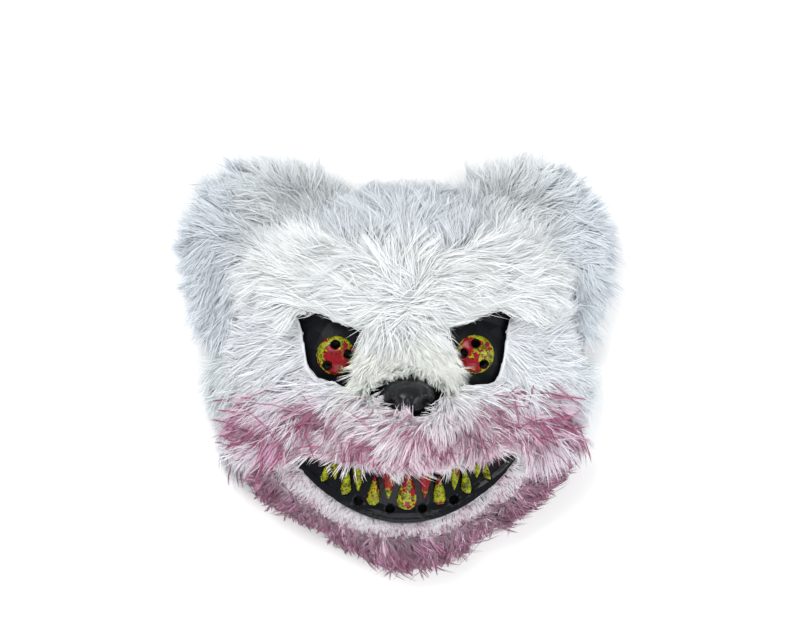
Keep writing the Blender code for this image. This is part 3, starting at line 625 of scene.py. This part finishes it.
# %% Brushing each panel
FAN_FROM = {
    "bridge": (NOSE + np.array([0, 0.042, 0]), (1.3, 1.0)),
    "muzzle": (NOSE + np.array([0, 0.022, 0]), (1.0, 1.0)),
    "cheek": (np.array([0, EYES[0][1] - 0.01, 0]), (1.0, 0.9)),
    "jaw": (MOUTH + np.array([0, 0.035, 0]), (0.8, 1.0)),
}
FAN_FROM["chin_plush"] = FAN_FROM["jaw"]
FAN_LEAN = {"cheek": (0, -0.25, 0), "jaw": (0.25, 0, -0.25), "chin_plush": (0.25, 0, -0.25)}
FOREHEAD_SPREAD = 0.8
BROW_PARTING = (0.002, 0.014)
SIDE_TOP = (-0.030, -0.005)
SIDE_FLARE = (0.35, 0.45)
EAR_ROOT = (MASK_WIDTH * 0.27, MASK_HEIGHT * 0.22)
EAR_TWIST = 0.8


def brushed(name, places):
    """The way the pile of a panel was brushed at each place."""
    kind = kind_of(name)
    if kind in FAN_FROM:
        return away_from(places, *FAN_FROM[kind]) + np.array(FAN_LEAN.get(kind, (0, 0, 0)))
    side = np.sign(places[:, 0])
    out = np.abs(places[:, 0]) / (MASK_WIDTH / 2)
    level = np.zeros(len(places))
    if kind == "forehead":
        return np.column_stack([side * out * FOREHEAD_SPREAD, level + 1.0, level])
    if kind == "brow":
        rise = (places[:, 1] - EYES[0][1] - 1.5 * EYE_RADIUS) / (MASK_HEIGHT * 0.2)
        parting = eased(np.abs(places[:, 0]), *BROW_PARTING)
        return np.column_stack([side * (1.8 * parting - 0.8), 1.1 * rise - 0.3, level - 0.2 * out])
    if kind == "side":
        flare = SIDE_FLARE[0] + SIDE_FLARE[1] * eased(places[:, 1], *SIDE_TOP)
        return np.column_stack([side * flare, level - 0.85, level - 0.5])
    root = np.column_stack([side * EAR_ROOT[0], level + EAR_ROOT[1], level])
    away = away_from(places - root, np.zeros(3))
    return away + EAR_TWIST * np.column_stack([side * away[:, 1], -side * away[:, 0], level])


print("panels that fan out from a point:", sorted(FAN_FROM))

# %% Combing over the edges
NOSE_SWIRL = 0.35
EYE_RUFF = 0.011
EYE_RUFF_DRAW = 1.3


def combed(name, places):
    """The way the pile lies at each place of a panel, drawn in round the eyes and the nose."""
    run = unit(brushed(name, places))
    if name == "jaw":
        near = beside_band(places)[:, None]
        return run * (1 - near) + unit(BAND_MIDDLE - places) * near
    if kind_of(name) not in ("cheek", "bridge", "muzzle"):
        return run
    near = beside_nose(places)[:, None]
    inward = -away_from(places, NOSE)
    around = np.column_stack([-inward[:, 1], inward[:, 0], inward[:, 2]])
    run = run * (1 - near) + (inward + NOSE_SWIRL * around) * near
    for eye in EYES:
        away = -depth_in_gap(places, eye)
        middle = np.array([eye[0], eye[1] - 0.2 * EYE_RADIUS, eye[2]])
        inner = np.abs(places[:, 0]) < np.abs(eye[0])
        below = eased(places[:, 1] - eye[1], 0.6 * EYE_RADIUS, -0.4 * EYE_RADIUS)
        draw = eased(away, EYE_RUFF, 0.0) * EYE_RUFF_DRAW * np.maximum(inner, below)
        run += unit(middle - places) * draw[:, None]
    return run


print("ruffs: nose", NOSE_RUFF, "eyes", EYE_RUFF, "band", BAND_RUFF[0])

# %% [markdown]
# ## Lengths
#
# Fur is clipped short round the nose and beside the shaved band. It is never quite even: on
# this mask it is shorter on the left of the jaw, at the jaw's right end and on the tip of one
# ear, and longer on the upper part of the sides.

# %% Clipping
NOSE_CLIP = {"bridge": 0.40, "muzzle": 0.45, "cheek": 0.45}
BAND_CLIP = 0.6
JAW_CLIP_LEFT = 0.45
JAW_CLIP_RIGHT = 0.20
SIDE_GROWTH = 0.35
EAR_CLIP = 0.45
EAR_TIP = (0.10, 0.13)


def length_share(name, places):
    """How long the hairs at each place are, as a share of their panel's length."""
    kind = kind_of(name)
    x, y = places[:, 0], places[:, 1]
    if kind in NOSE_CLIP:
        return 1 - NOSE_CLIP[kind] * beside_nose(places)
    if kind == "jaw":
        left, right = eased(-x, 0.010, 0.040), eased(x, 0.060, 0.080)
        share = 1 - JAW_CLIP_LEFT * left - JAW_CLIP_RIGHT * right
        return share * (1 - BAND_CLIP * beside_band(places))
    if kind == "side":
        return 1 + SIDE_GROWTH * eased(y, *SIDE_TOP)
    if kind == "ear":
        return 1 - EAR_CLIP * eased(x, *EAR_TIP) * eased(y, *EAR_TIP)
    return np.ones(len(places))


middle_share = length_share("muzzle", NOSE[None])[0]
print("hairs at the nose have", round(float(middle_share), 2), "of the muzzle's length")

# %% [markdown]
# ## The stain
#
# Dye was airbrushed over the lower face, heavy round the whole jaw and light on the cheeks and
# the muzzle. It shows in two ways. A pink blush lies on every hair, more or less. And some
# tufts were soaked: the dye stuck them together into dark wisps. A soft mask says how strong
# the stain is at a place, broken into patches. It mixes the blush in hair by hair, and half of
# it is the chance that a whole tuft is a wisp, which a random number for the tuft settles.

# %% Where the stain is
PATCHES = Drift(np.random.default_rng(5), 0.022)
JAW_STAIN = 1.35
CHEEK_STAIN = 0.72
CHEEK_STAIN_TOP = (-0.006, -0.032)
CHEEK_STAIN_LIP = (0.008, -0.002)
CHEEK_STAIN_LEFT = (0.100, 0.116)
CHEEK_STAIN_INNER = (0.024, 0.050)
SIDE_STAIN = {"left": 0.2, "right": 0.6}
SIDE_STAIN_TOP = (-0.014, -0.040)
SIDE_STAIN_RIM = (0.012, 0.030)
MUZZLE_STAIN = 0.54
MUZZLE_STAIN_TOP = (-0.016, -0.032)
MUZZLE_STAIN_LIP = (-0.002, 0.010)
CHIN_STAIN = 0.25


def stain_at(name, places):
    """How strong the stain is at each place: 0 for none, and over 1 where it is heaviest."""
    kind = kind_of(name)
    x, y = np.abs(places[:, 0]), places[:, 1]
    patch = np.clip(1 + 0.35 * PATCHES.at(places), 0.3, 1.6)
    if kind == "jaw":
        return JAW_STAIN * np.clip(patch, 0.85, 1.1)
    if kind == "cheek":
        low = eased(y, *CHEEK_STAIN_TOP)
        low *= 1 - 0.8 * eased(y - upper_lip(x), *CHEEK_STAIN_LIP)
        edge = 1 - 0.8 * eased(-places[:, 0], *CHEEK_STAIN_LEFT)
        return CHEEK_STAIN * patch * low * edge * eased(x, *CHEEK_STAIN_INNER)
    if kind == "side":
        share = np.where(places[:, 0] > 0, SIDE_STAIN["right"], SIDE_STAIN["left"])
        return share * patch * eased(y, *SIDE_STAIN_TOP) * eased(places[:, 2], *SIDE_STAIN_RIM)
    if kind == "muzzle":
        fringe = eased(y - upper_lip(places[:, 0]), *MUZZLE_STAIN_LIP)
        fringe *= 1 - beside_nose(places)
        return MUZZLE_STAIN * patch * eased(y, *MUZZLE_STAIN_TOP) * (0.05 + 0.95 * fringe)
    if kind == "chin_plush":
        return CHIN_STAIN * patch
    return np.zeros(len(places))


cheek_middle = np.array([[0.070, -0.035, 0.05]])
print("stain in the middle of a cheek:", round(float(stain_at("cheek_right", cheek_middle)[0]), 2))

# %% [markdown]
# ## White, and dye on white
#
# The pile's white differs from panel to panel: the forehead is bluer and darker than the brows,
# and the bridge is a little warmer. The ears are painted bluer and darker too, most at their
# outer part, as painted shade. Where two panels meet, their tones fade into each other.
# Each hair is also a little lighter or darker than the next.

# %% Colours of the pile
PILE_TONES = {
    "ear": (0.72, 0.77, 0.82),
    "forehead": (0.65, 0.70, 0.75),
    "brow": (0.84, 0.87, 0.88),
    "bridge": (0.84, 0.87, 0.83),
    "muzzle": (0.84, 0.84, 0.86),
    "cheek": (0.80, 0.83, 0.87),
    "side": (0.76, 0.81, 0.84),
    "jaw": (0.82, 0.82, 0.86),
    "chin_plush": (0.78, 0.78, 0.81),
}
STAIN_DARK = np.array([0.120, 0.001, 0.045])
STAIN_WISP = np.array([0.260, 0.008, 0.090])
STAIN_BLUSH = np.array([0.54, 0.12, 0.33])
WISP_SHARE = 0.50
BROW_FADE_UP = (0.074, 0.094)
BROW_FADE_OUT = (0.078, 0.104)
FOREHEAD_FADE = (0.112, 0.090)
EAR_SHADE_FADE = (0.118, 0.080)
HAIR_SHADES = (0.88, 1.08)
BLUSH_SHARES = (0.30, 1.0)
SOAKED_SHARES = (0.75, 1.0)


def undyed(name, places):
    """The white of the pile at each place: brow, forehead and ears fade into each other."""
    kind = kind_of(name)
    tone = np.array(PILE_TONES[kind]) * np.ones((len(places), 3))
    x, y = np.abs(places[:, 0]), places[:, 1]
    fade, other = np.zeros(len(places)), "brow"
    if kind == "brow":
        fade = np.maximum(eased(y, *BROW_FADE_UP), eased(x, *BROW_FADE_OUT)) * 0.75
        other = "forehead"
    if kind == "forehead":
        fade = eased(y, *FOREHEAD_FADE) * 0.35
    # The ears keep their painted shade at their outer part and fade towards the brow's white
    # inward.
    if kind == "ear":
        fade = eased(x, *EAR_SHADE_FADE) * 0.7
    return tone * (1 - fade[:, None]) + np.array(PILE_TONES[other]) * fade[:, None]


def pile_colours(name, places, chance, lots, wisps):
    """Two colours for each place: the panel's white, shaded at random, and the same with
    dye on top. Lots are a random number for each place's tuft, from 0 to 1, and wisps says
    which places belong to a soaked tuft."""
    shade = chance.uniform(*HAIR_SHADES, len(places)) * (0.93 + 0.12 * lots)
    plain = np.clip(undyed(name, places) * shade[:, None], 0, 0.94)
    blush = stain_at(name, places) * chance.uniform(*BLUSH_SHARES, len(places))
    blush = np.clip(blush, 0, 0.95)[:, None]
    dyed = plain * (1 - blush) + STAIN_BLUSH * blush
    soaked = (wisps * chance.uniform(*SOAKED_SHARES, len(places)))[:, None]
    dye = STAIN_DARK if kind_of(name) == "jaw" else STAIN_WISP
    return plain, dyed * (1 - soaked) + dye * soaked


print("kinds of white:", len(PILE_TONES))

# %% [markdown]
# ## The pile's body
#
# Under the loose tips, pile packs into a soft body. It is made from each plush solid, melted
# as the nose was, so that its stiff locks become one skin. The solid holds the whole depth of
# the pile, so the skin then sinks towards the cloth: what stands over the cloth keeps only a
# share of its height. In the gaps round the eyes it goes under the shell, out of sight. The
# hairs grow from its faces.

# %% Pile body
VOXEL = 0.0030
PANEL_ROUNDS = 8
EAR_ROUNDS = 22
CLOTH = 0.0048
PACKED = 0.22
GAP_PRESS = 0.0006
EAR_PULL = {"ear_left": 0.06, "ear_right": 0.10}
EAR_ROOT_OUT = 1.05
EAR_FLATTENED = 0.92
SHELL_SKIN = skin_of("face_shell")


def sunk(name, points):
    """The pile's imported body: what stands over the cloth sinks to a share of its height."""
    if kind_of(name) == "ear":
        low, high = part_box(name)
        root_x = low[0] if low[0] > 0 else high[0]
        root = np.array([root_x * EAR_ROOT_OUT, low[1] * 0.5 + high[1] * 0.5, 0.0])
        kept = 1 - EAR_PULL[name]
        return root + (points - root) * np.array([kept, kept, EAR_FLATTENED])
    moved = points.copy()
    in_gap = np.zeros(len(points), bool)
    if kind_of(name) in ("brow", "cheek", "side"):
        for eye in EYES:
            in_gap |= depth_in_gap(points, eye) > 0
    for n, point in enumerate(points):
        near, _, _, away = SHELL_SKIN.find_nearest(Vector(point))
        if near is None or near.dot(Vector(point) - near) < 0:
            continue
        share = 1.0
        if away > CLOTH:
            share = (CLOTH + (away - CLOTH) * PACKED) / away
        if in_gap[n]:
            share = -GAP_PRESS / max(away, GAP_PRESS)
        moved[n] = np.array(near) + (point - np.array(near)) * share
    return moved


def pile_body(name):
    """A soft skin from a plush solid, as a new piece."""
    rounds = EAR_ROUNDS if kind_of(name) == "ear" else PANEL_ROUNDS
    made = melted(name, f"{name}_pile", VOXEL, rounds)
    points = np.array([v.co[:] for v in made.data.vertices])
    made.data.vertices.foreach_set("co", sunk(name, points).astype(np.float32).ravel())
    made.data.update()
    return made


print("the cloth's top lies", CLOTH, "m over the shell")

# %% [markdown]
# ## Growing hairs
#
# Blender has a hair system, but hairs made as a mesh export anywhere and can be counted. Each
# hair rises from the skin, bends over the way the pile is combed, and leans towards the guide
# hair of its clump, which is what makes tufts. Everything is worked out for all hairs at once
# in arrays. First come the roots, spread evenly over the outward faces, and the clumps.

# %% Roots and clumps
OUTWARD_LEAST = 0.25
EAR_OUTWARD_LEAST = 0.12
EAR_UP_LEAST = 0.15
BARE_RIM = 0.004


def faces_of(piece):
    """Triangle corners, normals and areas of a piece, as arrays."""
    mesh = piece.data
    mesh.calc_loop_triangles()
    count = len(mesh.loop_triangles)
    ids = np.empty(count * 3, np.int32)
    mesh.loop_triangles.foreach_get("vertices", ids)
    points = np.empty(len(mesh.vertices) * 3, np.float32)
    mesh.vertices.foreach_get("co", points)
    points = points.reshape(-1, 3)
    corners = points[ids.reshape(-1, 3)]
    normals = np.cross(corners[:, 1] - corners[:, 0], corners[:, 2] - corners[:, 0])
    areas = np.linalg.norm(normals, axis=1)
    return corners, normals / np.maximum(areas, 1e-12)[:, None], areas / 2


def rooted(name, piece, count, chance):
    """Places and normals for hairs, spread over the outward faces of a piece."""
    corners, normals, areas = faces_of(piece)
    middles = corners.mean(1)
    outward = (unit(middles) * normals).sum(1)
    keep = outward > OUTWARD_LEAST
    if kind_of(name) == "ear":
        keep = (outward > EAR_OUTWARD_LEAST) | (normals[:, 2] > EAR_UP_LEAST)
    keep &= middles[:, 2] > BARE_RIM
    corners, normals, areas = corners[keep], normals[keep], areas[keep]
    picks = chance.choice(len(areas), count, p=areas / areas.sum())
    a, b = chance.uniform(0, 1, (2, count, 1))
    over = a + b > 1
    a, b = np.where(over, 1 - a, a), np.where(over, 1 - b, b)
    corner = corners[picks]
    places = corner[:, 0] + a * (corner[:, 1] - corner[:, 0]) + b * (corner[:, 2] - corner[:, 0])
    return places, normals[picks]


def clumped(places, spacing, area, chance):
    """For each hair, the number of its clump's guide hair."""
    guides = chance.choice(len(places), max(4, int(area / spacing**2)), replace=False)
    tree = KDTree(len(guides))
    for n, g in enumerate(guides):
        tree.insert(places[g], n)
    tree.balance()
    return guides[[tree.find(p)[1] for p in places]]


print("a clump on the jaw is", PLUSH["jaw"][3], "m across")

# %% [markdown]
# ## The path of a hair
#
# A path is four points, from the root to the tip. It rises first and then bends over, to run
# along the panel. What varies has three parts: one drifts over the panel, one is the tuft's own
# and one the hair's own. A loose hair hardly follows its tuft. A wisp is stuck together, so its
# hairs meet their guide sooner and closer, it turns less, and it stands over the tufts beside
# it.

# %% Hair paths
HAIR_STEPS = (0.0, 0.32, 0.68, 1.0)
LOOSE_SHARE = 0.20
LOOSE_SCATTER = 2.2
LOOSE_PULL = 0.12
TUFT_PULL = 0.52
WISP_PULL = 0.92
WISP_HASTE = 1.5
JAW_WISP_HASTE = 1.2
WISP_RISE = 0.4
NOSE_RISE = 1.2
CLOTH_LEAN = 0.75
DRIFT_WAVES = (0.045, 0.014, 0.020)
BROAD_SWING = 0.34
FINE_SWING = 0.28
TUFT_SWING = 0.24
WISP_SWING = 0.10
HAIR_SWING = 0.13
TUFT_CURL = 0.07
WISP_CURL = 0.24
HAIR_CURL = 0.02


def leaning(name, places, normals):
    """Directions away from the cloth, evened out: the pile stands on the cloth under it."""
    if kind_of(name) == "ear":
        return normals
    feet = np.array([SHELL_SKIN.find_nearest(Vector(p))[0] for p in places])
    return unit(unit(places - feet) * CLOTH_LEAN + normals * (1 - CLOTH_LEAN))


def hair_paths(name, places, normals, guide, wisps, chance):
    """Points along every hair, as an array of hairs by steps by 3."""
    length, lift, _, _ = PLUSH[kind_of(name)]
    count = len(places)
    normals = leaning(name, places, normals)
    run = combed(name, places)
    run = unit(run - normals * (run * normals).sum(1)[:, None])
    across = np.cross(normals, run)
    loose = chance.uniform(0, 1, count) < LOOSE_SHARE
    own = chance.normal(0, 1, (count, 4)) * np.where(loose, LOOSE_SCATTER, 1.0)[:, None]
    shared = chance.normal(0, 1, (count, 4))[guide]
    broad, fine, swell = (Drift(chance, wave) for wave in DRIFT_WAVES)
    drift = BROAD_SWING * broad.at(places) + FINE_SWING * fine.at(places)
    swing = drift + np.where(wisps, WISP_SWING, TUFT_SWING) * shared[:, 0] + HAIR_SWING * own[:, 0]
    run = unit(run + across * swing[:, None])
    across = np.cross(normals, run)
    reach = length * np.clip(1 + 0.16 * shared[:, 1] + 0.10 * own[:, 1], 0.45, 1.5)
    reach *= length_share(name, places)
    rise = 1 + 0.25 * swell.at(places) + 0.25 * shared[:, 2] + 0.15 * own[:, 2]
    rise = lift * np.clip(rise, 0.3, 1.8)
    if kind_of(name) in NOSE_CLIP:
        rise *= 1 + NOSE_RISE * beside_nose(places)
    rise *= 1 + WISP_RISE * wisps
    curl = np.where(wisps, WISP_CURL, TUFT_CURL) * shared[:, 3] + HAIR_CURL * own[:, 3]
    paths = []
    for t in HAIR_STEPS:
        up_share = rise * (1 - (1 - t) ** 2)
        side_share = curl * math.sin(math.pi * 1.6 * t)
        step = run * (t**1.15)
        step = step + normals * up_share[:, None] + across * side_share[:, None]
        paths.append(places + step * reach[:, None])
    paths = np.stack(paths, 1)
    held = np.where(wisps, WISP_PULL, np.where(loose, LOOSE_PULL, TUFT_PULL))
    haste = JAW_WISP_HASTE if name == "jaw" else WISP_HASTE
    for k, t in enumerate(HAIR_STEPS):
        gathered = held * np.where(wisps, min(1, haste * t), t)
        paths[:, k] += (paths[guide, k] - paths[:, k]) * gathered[:, None]
    return paths, across, loose


print("points on a hair:", len(HAIR_STEPS), "and loose ones:", LOOSE_SHARE)

# %% [markdown]
# ## Trimming
#
# Whoever sews such a mask trims what hangs in its eyes and over its teeth. Hairs in the gaps
# round the eyes are dropped, apart from a few that cross the edge. Hairs over the mouth are
# drawn back to the lip, tuft by tuft, by different amounts, which makes a fringe. And no hair
# may stand more than a few millimetres past the box of the solids.

# %% Trimming
EYE_GAP_REACH = 0.0012
WISP_CLEARANCE = 0.008
LIP_REACH = 0.0034
LIP_REACH_LEAST = 0.0028
LIP_REACH_MOST = 0.015
PROUD = 0.008


def clear_of_eyes(paths, wisps, chance):
    """Which hairs leave the eyes in sight: a few undyed ones may cross the gap's edge."""
    keep = np.ones(len(paths), bool)
    reach = EYE_GAP_REACH * chance.exponential(1.0, len(paths))
    reach = np.where(wisps, -WISP_CLEARANCE, reach)
    for eye in EYES:
        keep &= depth_in_gap(paths[:, 0], eye) < 0
        for k in (1, 2, 3):
            keep &= depth_in_gap(paths[:, k], eye) < reach
            keep &= depth_in_gap((paths[:, k - 1] + paths[:, k]) / 2, eye) < reach
    return keep


def trimmed_over_mouth(paths, guide, chance):
    """Hairs that would hide the teeth, drawn back tuft by tuft to near the plush's edge."""
    reach = np.minimum(chance.exponential(LIP_REACH, len(paths)), LIP_REACH_MOST)[guide]
    reach += LIP_REACH_LEAST
    rooted_above = paths[:, 0, 1] > upper_lip(paths[:, 0, 0]) - 0.002
    floor_y = upper_lip(paths[:, -1, 0]) - reach
    fall = paths[:, 0, 1] - paths[:, -1, 1]
    over = rooted_above & (paths[:, -1, 1] < floor_y) & (fall > 0.001)
    over &= np.abs(paths[:, -1, 0] - MOUTH[0]) < size_of("mouth").x / 2
    share = np.where(over, np.clip((paths[:, 0, 1] - floor_y) / np.maximum(fall, 1e-4), 0.25, 1), 1)
    return paths[:, :1] + (paths - paths[:, :1]) * share[:, None, None]


def kept_in_size(paths):
    """Hairs drawn back towards their roots where they would outgrow the mask's size."""
    low = np.array(solid_box[0]) - PROUD
    high = np.array(solid_box[1]) + PROUD
    runs = paths - paths[:, :1]
    room = np.where(runs > 0, high - paths[:, :1], paths[:, :1] - low)
    shares = np.clip(room, 0, None) / np.maximum(np.abs(runs), 1e-9)
    return paths[:, :1] + runs * np.clip(shares.min((1, 2)), 0, 1)[:, None, None]


print("hairs may stand", PROUD, "m past the solids' box")

# %% [markdown]
# ## Ribbons
#
# A hair becomes a ribbon of five triangles: two points at each of its first three steps, and
# one at its tip. Ribbons are turned a little at random, so that light catches some more than
# others. Feet are painted darker than tips, as painted shade deep in the pile, and dye is
# weaker at the feet.

# %% Ribbon meshes
HAIR_WIDTH = 0.00042
RIBBON_WIDTHS = (0.55, 0.62, 0.42)
RIBBON_TRIANGLES = np.array([(0, 1, 3), (0, 3, 2), (2, 3, 5), (2, 5, 4), (4, 5, 6)])
RIBBON_SHADING = np.array([0.0, 0.0, 0.35, 0.35, 0.75, 0.75, 1.0])
RIBBON_TWIST = 0.35
SHAVED_WIDTH = 0.6
FOOT_PAINTED_SHADE = 0.84
FOOT_DYE = 0.55


def hair_mesh(name, paths, across, normals, colours, chance):
    """All hairs of a panel as one mesh of ribbons that taper to a point. Colours are those of
    the hairs' feet and tips."""
    count = len(paths)
    twist = chance.normal(0, RIBBON_TWIST, count)[:, None]
    side = unit(across + normals * twist)
    width = HAIR_WIDTH * chance.uniform(0.7, 1.25, count)
    if kind_of(name) == "chin_plush":
        width *= SHAVED_WIDTH
    rows = []
    for k, share in enumerate(RIBBON_WIDTHS):
        half = side * (width * share)[:, None]
        rows += [paths[:, k] - half, paths[:, k] + half]
    rows.append(paths[:, -1])
    points = np.stack(rows, 1)
    per_hair = points.shape[1]
    base = (np.arange(count) * per_hair)[:, None]
    corners = (base[:, None, :] + RIBBON_TRIANGLES[None]).reshape(-1, 3)
    mesh = bpy.data.meshes.new(name)
    mesh.vertices.add(count * per_hair)
    mesh.vertices.foreach_set("co", points.astype(np.float32).ravel())
    mesh.loops.add(corners.size)
    mesh.loops.foreach_set("vertex_index", corners.astype(np.int32).ravel())
    mesh.polygons.add(len(corners))
    mesh.polygons.foreach_set("loop_start", np.arange(0, corners.size, 3, dtype=np.int32))
    mesh.polygons.foreach_set("use_smooth", np.ones(len(corners), bool))
    mesh.update()
    # Painted shade: each ribbon is darkened towards its foot, where the pile shades it.
    painted_depth_shade = FOOT_PAINTED_SHADE + (1 - FOOT_PAINTED_SHADE) * RIBBON_SHADING**0.7
    foot, tip = colours
    dye = (FOOT_DYE + (1 - FOOT_DYE) * RIBBON_SHADING**0.6)[None, :, None]
    shaded = (foot[:, None, :] * (1 - dye) + tip[:, None, :] * dye) * painted_depth_shade[None, :, None]
    rgba = np.concatenate([shaded, np.ones(shaded.shape[:2] + (1,))], 2)
    layer = mesh.color_attributes.new("pile_colour", "FLOAT_COLOR", "POINT")
    layer.data.foreach_set("color", rgba.astype(np.float32).ravel())
    return placed(name, mesh)


print("triangles a hair:", len(RIBBON_TRIANGLES))

# %% [markdown]
# ## What pile is made of
#
# Acrylic pile is white, soft and slightly shiny. The colour of each hair comes from the
# mesh's colour attribute, and a fine noise varies it, so that no two tufts match. Sheen on
# the shader stands for the fuzz that catches light at grazing angles.

# %% Pile material


def pile_material(name, sheen, roughness):
    """Plush, with its colour from the mesh and a fine variation on top."""
    fuzz = {"Sheen Weight": sheen, "Sheen Roughness": 0.4}
    constants = {"Roughness": roughness, "Specular IOR Level": 0.2, **fuzz}
    made, tree, shader, place = started(name, constants)
    dyed = tree.nodes.new("ShaderNodeAttribute")
    dyed.attribute_name = "pile_colour"
    tone = tree.nodes.new("ShaderNodeMapRange")
    tone.inputs["To Min"].default_value = 0.86
    tone.inputs["To Max"].default_value = 1.10
    linked(tree, noise(tree, place, 240, 3).outputs["Fac"], tone.inputs["Value"])
    mixed = tree.nodes.new("ShaderNodeVectorMath")
    mixed.operation = "SCALE"
    linked(tree, dyed.outputs["Color"], mixed.inputs[0])
    linked(tree, tone.outputs["Result"], mixed.inputs["Scale"])
    linked(tree, mixed.outputs["Vector"], shader.inputs["Base Color"])
    return made


PILE_BODY_FINISH = pile_material("pile_body", 0.1, 0.9)
HAIR_FINISH = pile_material("pile_hairs", 0.05, 0.55)
print("pile finishes:", PILE_BODY_FINISH.name, HAIR_FINISH.name)

# %% [markdown]
# ## Every plush panel
#
# One loop now does the work for each panel: body, roots, clumps, paths, colours, mesh. The
# body takes the place of the plain solid, and the hairs ride along with it. The shaved band
# has black flecks beside the lip, where paint from the mouth got on it.

# %% Painting the body and the shaved band
BODY_DYE = 0.5
# The body's colour is scaled down below the hairs' as painted shade under them.
BODY_PAINTED_SHADE = 0.92
FLECK = (0.03, 0.03, 0.035)
FLECK_REACH = 0.004
FLECKS_AT_LIP = 0.14
FLECKS_ELSEWHERE = 0.01
MOUTH_SKIN = skin_of("mouth")


def paint_body(name, body, chance):
    """Colour the pile's body the way its hairs are coloured, darkened as painted shade, since it
    lies under the hairs.
    """
    points = np.array([v.co[:] for v in body.data.vertices])
    lots = chance.uniform(0, 1, len(points))
    wisps = lots < WISP_SHARE * stain_at(name, points)
    plain, dyed = pile_colours(name, points, chance, lots, wisps)
    colours = (plain * (1 - BODY_DYE) + dyed * BODY_DYE) * BODY_PAINTED_SHADE
    layer = body.data.color_attributes.new("pile_colour", "FLOAT_COLOR", "POINT")
    rgba = np.concatenate([colours, np.ones((len(colours), 1))], 1)
    layer.data.foreach_set("color", rgba.astype(np.float32).ravel())


def black_flecks(places, chance):
    """Which hairs of the shaved band are black: many beside the lip, few elsewhere."""
    beside_lip = np.array([MOUTH_SKIN.find_nearest(Vector(p))[3] < FLECK_REACH for p in places])
    chances = np.where(beside_lip, FLECKS_AT_LIP, FLECKS_ELSEWHERE)
    return chance.uniform(0, 1, len(places)) < chances


print("black flecks lie within", FLECK_REACH, "m of the lip")

# %% Grow the plush
COVERED_SHARE = 0.55
FLOOR_GAP = 0.0008
# Loose hairs are painted lighter, as painted highlight where they stand clear of their tufts, and
# held ones a little darker, as painted shade inside them.
LOOSE_PAINTED_HIGHLIGHT = 1.08
HELD_PAINTED_SHADE = 0.98


def grow_plush(name, seed):
    """The pile's body and the hairs of one panel."""
    chance = np.random.default_rng(seed)
    body = pile_body(name)
    paint_body(name, body, chance)
    body.data.materials.clear()
    body.data.materials.append(PILE_BODY_FINISH)
    count, spacing = PLUSH[kind_of(name)][2:]
    places, normals = rooted(name, body, count, chance)
    area = faces_of(body)[2].sum() * COVERED_SHARE
    guide = clumped(places, spacing, area, chance)
    lots = chance.uniform(0, 1, len(places))[guide]
    wisps = lots < WISP_SHARE * stain_at(name, places[guide])
    paths, across, loose = hair_paths(name, places, normals, guide, wisps, chance)
    paths = kept_in_size(paths)
    paths[..., 2] = np.maximum(paths[..., 2], FLOOR_GAP)
    if kind_of(name) in ("muzzle", "cheek"):
        paths = trimmed_over_mouth(paths, guide, chance)
    keep = clear_of_eyes(paths, wisps, chance)
    if kind_of(name) == "chin_plush":
        flecked = black_flecks(places, chance)
    colours = []
    for tone in pile_colours(name, places, chance, lots, wisps):
        # Painted highlight on loose hairs and painted shade on held ones.
        tone = np.clip(tone * np.where(loose, LOOSE_PAINTED_HIGHLIGHT, HELD_PAINTED_SHADE)[:, None], 0, 0.95)
        if kind_of(name) == "chin_plush":
            tone[flecked] = FLECK
        colours.append(tone[keep])
    hairs = hair_mesh(f"{name}_hairs", paths[keep], across[keep], normals[keep], colours, chance)
    hairs.data.materials.append(HAIR_FINISH)
    for piece in (body, hairs):
        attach(piece, "root")
        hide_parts(name)
    return len(body.data.polygons) * 2, len(hairs.data.polygons)


total = 0
for seed, name in enumerate(plush_names):
    body_faces, hair_faces = grow_plush(name, seed + 11)
    total += body_faces + hair_faces
    print(f"{name}: body {body_faces}, hairs {hair_faces}")
print("plush triangles in all:", total)
